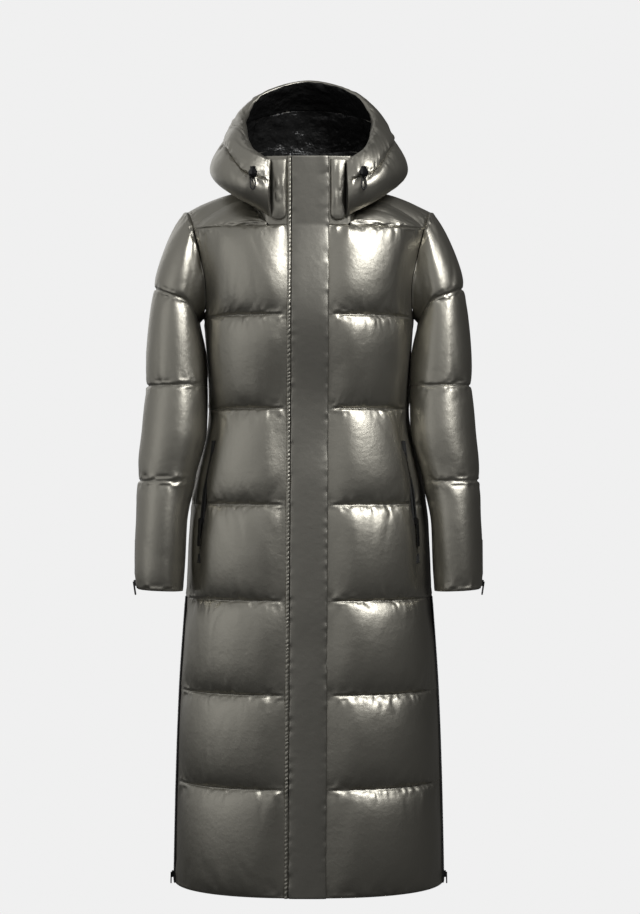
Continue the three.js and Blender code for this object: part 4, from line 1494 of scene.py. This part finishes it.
@dataclass
class Collar:
    """The padded stand collar inside the hood."""

    torso: Torso
    spacing: float = 4.0
    neck_points: int = 50
    rows: int = 36
    inner_puff: float = 2.0

    def neck_line(self) -> Array:
        """The neck seam from the zip round the back to the zip again.

        Returns:
            Its points, evenly spaced.
        """
        seam = YOKE_SEAM_HEIGHT
        halves = []
        for name, side in SIDES.items():
            start = torso_point(angle_at_x(placket_centre(seam) + side * ZIP_HALF_WIDTH, seam), seam)
            front = self.torso.front_top(name, np.linspace(0, FRONT_SHARES[1], 8))
            corner = self.torso.front_corner(name)
            up = self.torso.neck(side, corner, np.linspace(1, 0, self.neck_points))
            back = self.torso.neck(side, None, np.linspace(0, 1, self.neck_points))
            halves.append(np.concatenate([start[None], front[:-1], up, back[1:]]))
        right, left = halves
        line = np.concatenate([left, right[-2::-1]])
        length = np.concatenate([[0], np.cumsum(np.linalg.norm(np.diff(line, axis=0), axis=-1))])
        at = np.linspace(0, length[-1], 2 * int(length[-1] / self.spacing / 2) + 1)
        return np.stack([np.interp(at, length, line[:, k]) for k in range(3)], axis=-1)

    def panel(self) -> Panel:
        """The collar's points, filling and seams.

        Returns:
            The panel.
        """
        foot = self.neck_line()
        outward = unit(np.stack([foot[:, 0], foot[:, 1] - COLLAR_CENTRE_Y, 0 * foot[:, 0]], -1))
        top = lerp(COLLAR_TOP_FRONT, COLLAR_TOP_BACK, smooth(-110, 60, foot[:, 1]))
        lean = COLLAR_LEAN * smooth(-125, -60, foot[:, 1])
        end = np.stack([foot[:, 0], foot[:, 1], top], -1) - outward * lean[:, None]
        _, share, baffle = baffle_rows([0, 1], self.rows)
        base = lerp(foot[None], end[None], share[:, None, None])
        tall = (top - foot[:, 2])[None, :]
        full = smooth(70, 98, np.abs(foot[:, 0]))[None, :]
        puff = COLLAR_PUFF * puff_profile(share)[:, None] * full
        centre = np.array([0, COLLAR_CENTRE_Y, 20.0])
        return Panel("collar", base, puff, arc_along(base), share[:, None] * tall,
                     (1 - share)[:, None] * tall, baffle[:, None], centre, thickness=COLLAR_THICKNESS,
                     inner_puff=self.inner_puff, soft=0.5, fill=0.4,
                     edge_fade=0.1 + 0.9 * full * np.ones_like(puff))

    def build(self, palette: Palette) -> None:
        """Makes the collar in the palette's materials."""
        self.panel().build(palette, COLLAR_SEED)


@dataclass
class CollarTab:
    """A padded tab beside the placket's top, with rounded lower corners."""

    side_name: str
    torso: Torso
    rows: int = 46
    columns: int = 22
    corner_height: float = 13.0
    foot_share: float = 0.38
    edge_lift: float = 1.4
    filled_lift: float = 5.2
    crease_depth: float = 1.8

    def base(self) -> Grid:
        """Points of the front that the tab lies on.

        Returns:
            Rows by columns of points.
        """
        side = SIDES[self.side_name]
        a = self.torso.front_top(self.side_name, 0.0) * [side, 1, 1]
        b = self.torso.front_top(self.side_name, FRONT_SHARES[1]) * [side, 1, 1]
        z = np.linspace(TAB_BOTTOM, TAB_TOP, self.rows)
        corner = np.clip(1 - (z - TAB_BOTTOM) / self.corner_height, 0, 1)
        full = np.sqrt(np.maximum(1 - corner**2.4, 0.0))
        width = lerp(self.foot_share, 1.0, full)
        middle, half = (TAB_INNER + TAB_OUTER) / 2, (TAB_OUTER - TAB_INNER) / 2
        x = middle + half * width[:, None] * np.linspace(-1, 1, self.columns)[None, :]
        y = lerp(a[1], b[1], (x - a[0]) / (b[0] - a[0]))
        return np.stack([side * x, y, z[:, None] + 0 * x], -1)

    def build(self, palette: Palette) -> None:
        """Makes the tab.

        Args:
            palette: the materials.
        """
        base = self.base()
        noise = Noise(TAB_SEED + SIDES[self.side_name])
        place = np.abs(np.linspace(-1, 1, self.columns))[None, :]
        upwards = np.clip(np.linspace(0, 1, self.rows), 0.02, 0.98)
        round_off = (1 - place**3) * puff_profile(upwards)[:, None]
        crease = self.crease_depth * np.abs(noise(np.abs(base[..., 0]) / 9, base[..., 2] / 22)) * round_off
        lift = self.edge_lift + self.filled_lift * round_off**0.5 + crease
        made = laid_piece(f"collar_tab_{self.side_name}", base, lift, PLACKET_LIFT, palette["shell"])
        LOG.info("collar tab %s", self.side_name)


@dataclass
class Placket:
    """The smooth placket over the front zip, with the gathered piping down its edge."""

    rows: int = 420
    columns: int = 26
    piping_rows: int = 1300
    piping_columns: int = 7
    pleat_spacing: float = 7.5
    pleat_height: float = 1.3
    piping_foot: float = 0.3
    piping_lift: float = 1.0
    piping_height: float = 2.6

    @staticmethod
    def front_line(offset: Array, heights: Array) -> Array:
        """Points down the front.

        Args:
            offset: side places from the placket's middle.
            heights: the points' heights.

        Returns:
            The points.
        """
        x = placket_centre(heights) + offset
        held = np.minimum(heights, YOKE_SEAM_HEIGHT)
        point = torso_point(angle_at_x(x, held), held)
        point[..., 2] = heights
        return point

    def cover(self, palette: Palette) -> bpy.types.Object:
        """The placket itself: smooth, with soft waves and short tucks beside its top.

        Args:
            palette: the materials.

        Returns:
            The object.
        """
        heights = np.linspace(HEM_HEIGHT, COLLAR_TOP_FRONT, self.rows)[:, None]
        s = np.linspace(-1, 1, self.columns)[None, :]
        noise = Noise(PLACKET_SEED)
        edge = np.abs(s) ** 6
        wave = 0.6 * noise(heights / 60, s * 0.8)
        ripple = edge * 1.4 * noise(heights / 9, s * 2 + 9)
        near_top = smooth(-60, 40, heights)
        tuck = near_top * 2.2 * np.abs(noise(heights / 12, s * 1.5 + 20)) * smooth(0.2, 1, s)
        lift = PLACKET_LIFT + PLACKET_THICKNESS + 1.2 * (1 - edge) + wave + ripple + tuck
        base = self.front_line(PLACKET_HALF_WIDTH * s, heights + 0 * s)
        return laid_piece("placket", base, lift, PLACKET_LIFT, palette["placket"])

    def piping(self, palette: Palette) -> bpy.types.Object:
        """The gathered piping, in short slanted pleats.

        Args:
            palette: the materials.

        Returns:
            The object.
        """
        heights = np.linspace(HEM_HEIGHT, COLLAR_TOP_FRONT, self.piping_rows)[:, None]
        s = np.linspace(0, 1, self.piping_columns)[None, :]
        noise = Noise(PLACKET_SEED)
        slanted = heights + 5.0 * s + 4.0 * noise(heights / 25, 0 * heights)
        depth = 0.6 + 0.4 * noise(heights / 18, 4 + 0 * heights)
        pleat = self.pleat_height * np.abs(np.sin(np.pi * slanted / self.pleat_spacing)) * depth
        lift = self.piping_lift + np.sin(np.pi * s) ** 0.7 * (self.piping_height + pleat)
        offset = -PLACKET_HALF_WIDTH - SEAM_GAP - PIPING_WIDTH * s
        base = self.front_line(offset, heights + 0 * s)
        return laid_piece("placket_piping", base, lift, self.piping_foot, palette["shell"])

    def build(self, palette: Palette) -> None:
        """Args:
            palette: the materials.
        """
        cover = self.cover(palette)
        piping = self.piping(palette)
        LOG.info("placket and piping")


# Small pieces set out in rows by Geometry Nodes


class RowKind(Enum):
    """What a row is made of, with its piece's size in millimetres: along, across and high."""

    STITCH = (3.0, 0.7, 0.7)
    TOOTH = (1.3, 3.6, 1.2)


@dataclass
class Rows:
    """Rows of equal small pieces: each point carries its direction along the row and outwards."""

    name: str
    kind: RowKind
    points: list = field(default_factory=list)
    along: list = field(default_factory=list)
    outward: list = field(default_factory=list)

    def add(self, line: Array, outward: Array, pitch: float, lift: float = 0.0) -> None:
        """Sets pieces along a line.

        Args:
            line: its points, in millimetres.
            outward: the outward direction at each point.
            pitch: distance from one piece to the next.
            lift: how far the pieces stand off the line.
        """
        steps = np.linalg.norm(np.diff(line, axis=0), axis=-1)
        length = np.concatenate([[0], np.cumsum(steps)])
        at = np.arange(pitch / 2, length[-1], pitch)

        def read_at(places: Array, values: Array) -> Array:
            """Values read at distances along the line."""
            return np.stack([np.interp(places, length, values[:, k]) for k in range(3)], axis=-1)

        out = unit(read_at(at, outward))
        self.points.append(read_at(at, line) + out * lift)
        self.along.append(unit(read_at(at + 1, line) - read_at(at - 1, line)))
        self.outward.append(out)

    def tree(self) -> bpy.types.NodeTree:
        """Builds the node tree: a box set on every point, turned by the point's two directions.

        Returns:
            The tree, with inputs for the points, the piece's size and its material.
        """
        tree = bpy.data.node_groups.new(self.name + "_rows", "GeometryNodeTree")
        face = tree.interface
        face.new_socket("Geometry", in_out="INPUT", socket_type="NodeSocketGeometry")
        face.new_socket("Piece size", in_out="INPUT", socket_type="NodeSocketVector")
        face.new_socket("Material", in_out="INPUT", socket_type="NodeSocketMaterial")
        face.new_socket("Geometry", in_out="OUTPUT", socket_type="NodeSocketGeometry")
        board = Board(tree)
        start = board.node("NodeGroupInput")
        box = board.node("GeometryNodeMeshCube", sockets={"Size": board.wire(start, "Piece size")})
        vector = {"data_type": "FLOAT_VECTOR"}
        outward = board.node("GeometryNodeInputNamedAttribute", vector, {"Name": "outward"})
        along = board.node("GeometryNodeInputNamedAttribute", vector, {"Name": "along"})
        turn = board.node("FunctionNodeAxesToRotation", {"primary_axis": "Z", "secondary_axis": "X"}, {
            0: board.wire(outward, "Attribute"), 1: board.wire(along, "Attribute"),
        })
        spread = board.node("GeometryNodeInstanceOnPoints", sockets={
            "Points": board.wire(start, "Geometry"), "Instance": board.wire(box, "Mesh"),
            "Rotation": board.wire(turn, 0),
        })
        real = board.node("GeometryNodeRealizeInstances", sockets={
            "Geometry": board.wire(spread, "Instances"),
        })
        paint = board.node("GeometryNodeSetMaterial", sockets={
            "Geometry": board.wire(real, "Geometry"), "Material": board.wire(start, "Material"),
        })
        board.node("NodeGroupOutput", sockets={0: board.wire(paint, "Geometry")})
        return tree

    def seeds(self) -> bpy.types.Object:
        """Makes the object that carries the rows' points and directions.

        Returns:
            The object, which is removed once the rows are made.
        """
        points = np.concatenate(self.points) * MM
        mesh = bpy.data.meshes.new(self.name + "_seeds")
        mesh.from_pydata([tuple(p) for p in points], [], [])
        for key, values in (("along", self.along), ("outward", self.outward)):
            attribute = mesh.attributes.new(key, "FLOAT_VECTOR", "POINT")
            attribute.data.foreach_set("vector", np.concatenate(values).astype(np.float32).ravel())
        holder = bpy.data.objects.new(self.name + "_seeds", mesh)
        bpy.context.scene.collection.objects.link(holder)
        return holder

    def build(self, material: bpy.types.Material, slot: str) -> bpy.types.Object:
        """Makes the rows as one plain mesh.

        Args:
            material: the pieces' material.
            slot: not used.

        Returns:
            The object.
        """
        holder = self.seeds()
        modifier = holder.modifiers.new("rows", "NODES")
        modifier.node_group = self.tree()
        names = {item.name: item.identifier for item in modifier.node_group.interface.items_tree
                 if item.in_out == "INPUT"}
        modifier[names["Piece size"]] = [value * MM for value in self.kind.value]
        modifier[names["Material"]] = material
        bpy.context.view_layer.update()
        evaluated = holder.evaluated_get(bpy.context.evaluated_depsgraph_get())
        mesh = bpy.data.meshes.new_from_object(evaluated)
        bpy.data.objects.remove(holder)
        made = bpy.data.objects.new(self.name, mesh)
        bpy.context.scene.collection.objects.link(made)
        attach(made, BODY)
        LOG.info("%s: %d pieces", self.name, sum(len(line) for line in self.points))
        return made


@dataclass
class Sewing:
    """Stitches along every quilting seam."""

    torso: Torso
    pitch: float = 4.4
    lift: float = 0.2

    def build(self, palette: Palette) -> None:
        """Makes the quilting stitches.

        Args:
            palette: the materials.
        """
        rows = Rows("quilting_stitches", RowKind.STITCH)
        panels = [self.torso.front(name) for name in SIDES] + [self.torso.back()]
        panels += [Sleeve(name, self.torso).panel() for name in SIDES]
        for panel in panels:
            normals = panel.normals()
            share = panel.below[:, 0] / (panel.below[:, 0] + panel.above[:, 0])
            for r in np.flatnonzero(share < ON_SEAM)[1:]:
                rows.add(panel.base[r], normals[r], self.pitch, self.lift)
        rows.build(palette["thread"], "shell")


@dataclass
class ZipTeeth:
    """Rows of teeth down the middle of the pocket and vent zips."""

    pitch: float = 2.5
    tape_top: float = 2.5
    pocket_share: float = 0.69
    spacing: float = 6.0
    end_margin: float = 4.0

    def line(self, name: str, top: float, bottom: float, share: float) -> tuple[Array, Array]:
        """Points on a front's surface and their outward directions.

        Args:
            name: the side, right or left.
            top: height of the upper end.
            bottom: height of the lower end.
            share: place across the front, 0 by the placket and 1 at the side seam.

        Returns:
            The points and the directions.
        """
        side = SIDES[name]
        heights = np.arange(bottom + self.end_margin, top - self.end_margin, self.spacing)
        flat = angle_at_x(placket_centre(heights) + side * FRONT_FLAT[name], heights)
        angle = lerp(flat, side * side_angle("front_angle", heights), share)
        line = torso_point(angle, heights)
        beside = torso_point(angle + 0.02, heights)
        out = unit(np.cross(beside - line, np.gradient(line, axis=0)))
        facing = np.sum(out * (line - [0, TORSO_CENTRE_Y, 0]), axis=-1, keepdims=True)
        return line, out * np.sign(facing)

    def build(self, palette: Palette) -> None:
        """Makes the teeth.

        Args:
            palette: the materials.
        """
        rows = Rows("zip_teeth", RowKind.TOOTH)
        for name in SIDES:
            pocket = self.line(name, POCKET_TOP, POCKET_BOTTOM, self.pocket_share)
            rows.add(*pocket, self.pitch, self.tape_top + POCKET_LIFT)
            vent = self.line(name, VENT_TOP, HEM_HEIGHT, 1.0)
            rows.add(*vent, self.pitch, self.tape_top)
        rows.build(palette["metal"], "zip_tape")


class HardPieces:
    """Materials for the CAD pieces that stay as they are."""

    LOOKS = {
        "tape": ("pocket_zip", "vent_zip", "cuff_zip", "front_zip"),
        "metal": ("pocket_slider", "vent_slider", "cuff_slider", "pocket_pull", "vent_pull", "cuff_pull"),
        "lock": ("cord_lock", "cord_button"),
        "patch": ("sleeve_patch",),
    }

    def build(self, palette: Palette) -> None:
        """Gives each kept CAD piece its finish.

        Args:
            palette: the materials.
        """
        for name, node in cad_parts.items():
            look = next((key for key, names in self.LOOKS.items() if name.startswith(names)), None)
            if look is None:
                continue
            node.data.materials.clear()
            node.data.materials.append(palette[look])
            LOG.info("%s: %s", name, look)


@dataclass
class Drawcord:
    """The loop of elastic cord that hangs out of one cord lock."""

    side_name: str
    radius: float = 1.5
    route: tuple = (
        (-2.2, -1, 0), (-4, -3.2, -9), (-3.6, -4, -16), (0, -4.2, -20),
        (3.6, -4, -16), (4, -3.2, -9), (2.2, -1, 0),
    )
    rings: int = 40
    sides: int = 12
    core_radius: float = 0.3
    lock_gap: float = 0.42

    def path(self) -> Array:
        """The cord's centre line.

        Returns:
            Its points, in millimetres.
        """
        side = SIDES[self.side_name]
        lock_low, lock_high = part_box(f"cord_lock_{self.side_name}")
        centre = (np.array(lock_low) + np.array(lock_high)) / 2 / MM
        foot = np.array([centre[0], centre[1], lock_low.z / MM - self.lock_gap])
        points = foot + np.array(self.route, float) * [side, 1, 1]
        return np.array([catmull(points, t) for t in np.linspace(0, 1, self.rings)])

    def build(self, palette: Palette) -> None:
        """Args:
            palette: the materials.
        """
        path = self.path()
        tangent = unit(np.gradient(path, axis=0))
        sideways = unit(np.cross(tangent, [0, -1.0, 0.2]))
        normal = np.cross(sideways, tangent)
        angle = np.linspace(0, 2 * np.pi, self.sides, endpoint=False)[None, :, None]
        ring = np.cos(angle) * sideways[:, None] + np.sin(angle) * normal[:, None]
        outside = path[:, None] + self.radius * ring
        points, quads, _ = closed_wall(outside, path[:, None] + self.core_radius * ring, tube=True)
        made = mesh_object(f"drawcord_{self.side_name}_cord", points, quads, [palette["cord"]])
        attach(made, BODY)
        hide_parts(f"drawcord_{self.side_name}")


@dataclass(frozen=True)
class SoftPanel:
    """A soft rectangular light: its place and size in metres, and its power in watts."""

    name: str
    place: tuple[float, float, float]
    size: tuple[float, float]
    power: float

    def build(self, aim: Vector) -> None:
        """Makes the light and turns it to the point it is aimed at.

        Args:
            aim: the point.
        """
        data = bpy.data.lights.new(self.name, "AREA")
        data.shape = "RECTANGLE"
        data.size, data.size_y = self.size
        data.energy = self.power
        made = bpy.data.objects.new(self.name, data)
        bpy.context.scene.collection.objects.link(made)
        made.location = self.place
        towards = aim - Vector(self.place)
        made.rotation_euler = towards.to_track_quat("-Z", "Y").to_euler()


LIGHTS = [
    SoftPanel("left_panel", (-3.0, -2.0, 0.3), (2.4, 3.0), 9),
    SoftPanel("upper_softbox", (1.35, -2.0, 1.7), (0.9, 1.7), 84),
    SoftPanel("back_fill", (-1.6, 3.2, 1.0), (2.4, 2.4), 14),
]


@dataclass
class Studio:
    """Camera, soft light, backdrop and floor, in metres."""

    camera_height: float = -0.453
    camera_side: float = 0.020
    distance: float = 3.8
    lens: float = 83.0
    sensor: float = 36.0
    aim_height: float = -0.45
    floor_height: float = -1.42
    floor_reach: float = 6.0
    pale: float = 0.871
    floor_sheen: float = 0.06
    room_bright: float = 0.50
    room_dark: float = 0.025
    room_bright_to: float = -0.25
    room_dark_from: float = 0.12

    def pale_colour(self) -> tuple[float, float, float, float]:
        """Colour of the backdrop and the floor."""
        return (self.pale, self.pale, self.pale, 1)

    def camera(self) -> None:
        """Level camera in front of the coat."""
        data = bpy.data.cameras.new("camera")
        data.lens = self.lens
        data.sensor_width = self.sensor
        made = bpy.data.objects.new("camera", data)
        bpy.context.scene.collection.objects.link(made)
        made.location = (self.camera_side, -self.distance, self.camera_height)
        made.rotation_euler = (math.pi / 2, 0, 0)
        bpy.context.scene.camera = made

    def world(self) -> None:
        """Pale backdrop for the camera, and a soft room that is darker on the coat's left for the rest."""
        world = bpy.data.worlds.new("studio")
        bpy.context.scene.world = world
        world.use_nodes = True
        world.node_tree.nodes.clear()
        board = Board(world.node_tree)
        place = board.node("ShaderNodeTexCoord")
        split = board.node("ShaderNodeSeparateXYZ", sockets={0: board.wire(place, "Generated")})
        ramp = board.node("ShaderNodeMapRange", {"interpolation_type": "SMOOTHSTEP"}, {
            "Value": board.wire(split, "X"),
            "From Min": self.room_bright_to, "From Max": self.room_dark_from,
            "To Min": self.room_bright, "To Max": self.room_dark,
        })
        room = board.node("ShaderNodeBackground", sockets={"Strength": board.wire(ramp, "Result")})
        pale = board.node("ShaderNodeBackground", sockets={"Color": self.pale_colour()})
        seen = board.wire(board.node("ShaderNodeLightPath"), "Is Camera Ray")
        mix = board.node("ShaderNodeMixShader", sockets={
            0: seen, 1: board.wire(room, 0), 2: board.wire(pale, 0),
        })
        board.node("ShaderNodeOutputWorld", sockets={"Surface": board.wire(mix, 0)})

    def floor(self) -> None:
        """Floor below the coat: as pale as the backdrop to the camera, and dim in the cloth's sheen."""
        shader = Shader("floor")
        main = shader.main.inputs
        main["Base Color"].default_value = (0.0, 0.0, 0.0, 1)
        main["Roughness"].default_value = 1.0
        main["Specular IOR Level"].default_value = 0.0
        main["Emission Color"].default_value = self.pale_colour()
        seen = shader.wire(shader.node("ShaderNodeLightPath"), "Is Camera Ray")
        shader.feed(main["Emission Strength"], seen * (1 - self.floor_sheen) + self.floor_sheen)
        reach, height = self.floor_reach / MM, self.floor_height / MM
        corners = ((-reach, -reach), (reach, -reach), (reach, reach), (-reach, reach))
        points = np.array([(x, y, height) for x, y in corners])
        mesh_object("floor", points, np.array([[0, 1, 2, 3]]), [shader.material])

    def build(self) -> None:
        """Sets up the whole studio."""
        self.camera()
        self.world()
        self.floor()
        for light in LIGHTS:
            light.build(Vector((0, 0, self.aim_height)))
        bpy.context.scene.view_settings.view_transform = "Standard"
        LOG.info("studio")


def main() -> None:
    """Builds the coat piece by piece, then the studio."""
    palette = Palette()
    torso = Torso()
    torso.build(palette)
    for name in SIDES:
        Sleeve(name, torso).build(palette)
    Hood().build(palette)
    Collar(torso).build(palette)
    for name in SIDES:
        CollarTab(name, torso).build(palette)
    Placket().build(palette)
    Sewing(torso).build(palette)
    ZipTeeth().build(palette)
    HardPieces().build(palette)
    for name in SIDES:
        Drawcord(name).build(palette)
    Studio().build()
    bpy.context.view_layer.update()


if __name__ == "__main__":
    main()
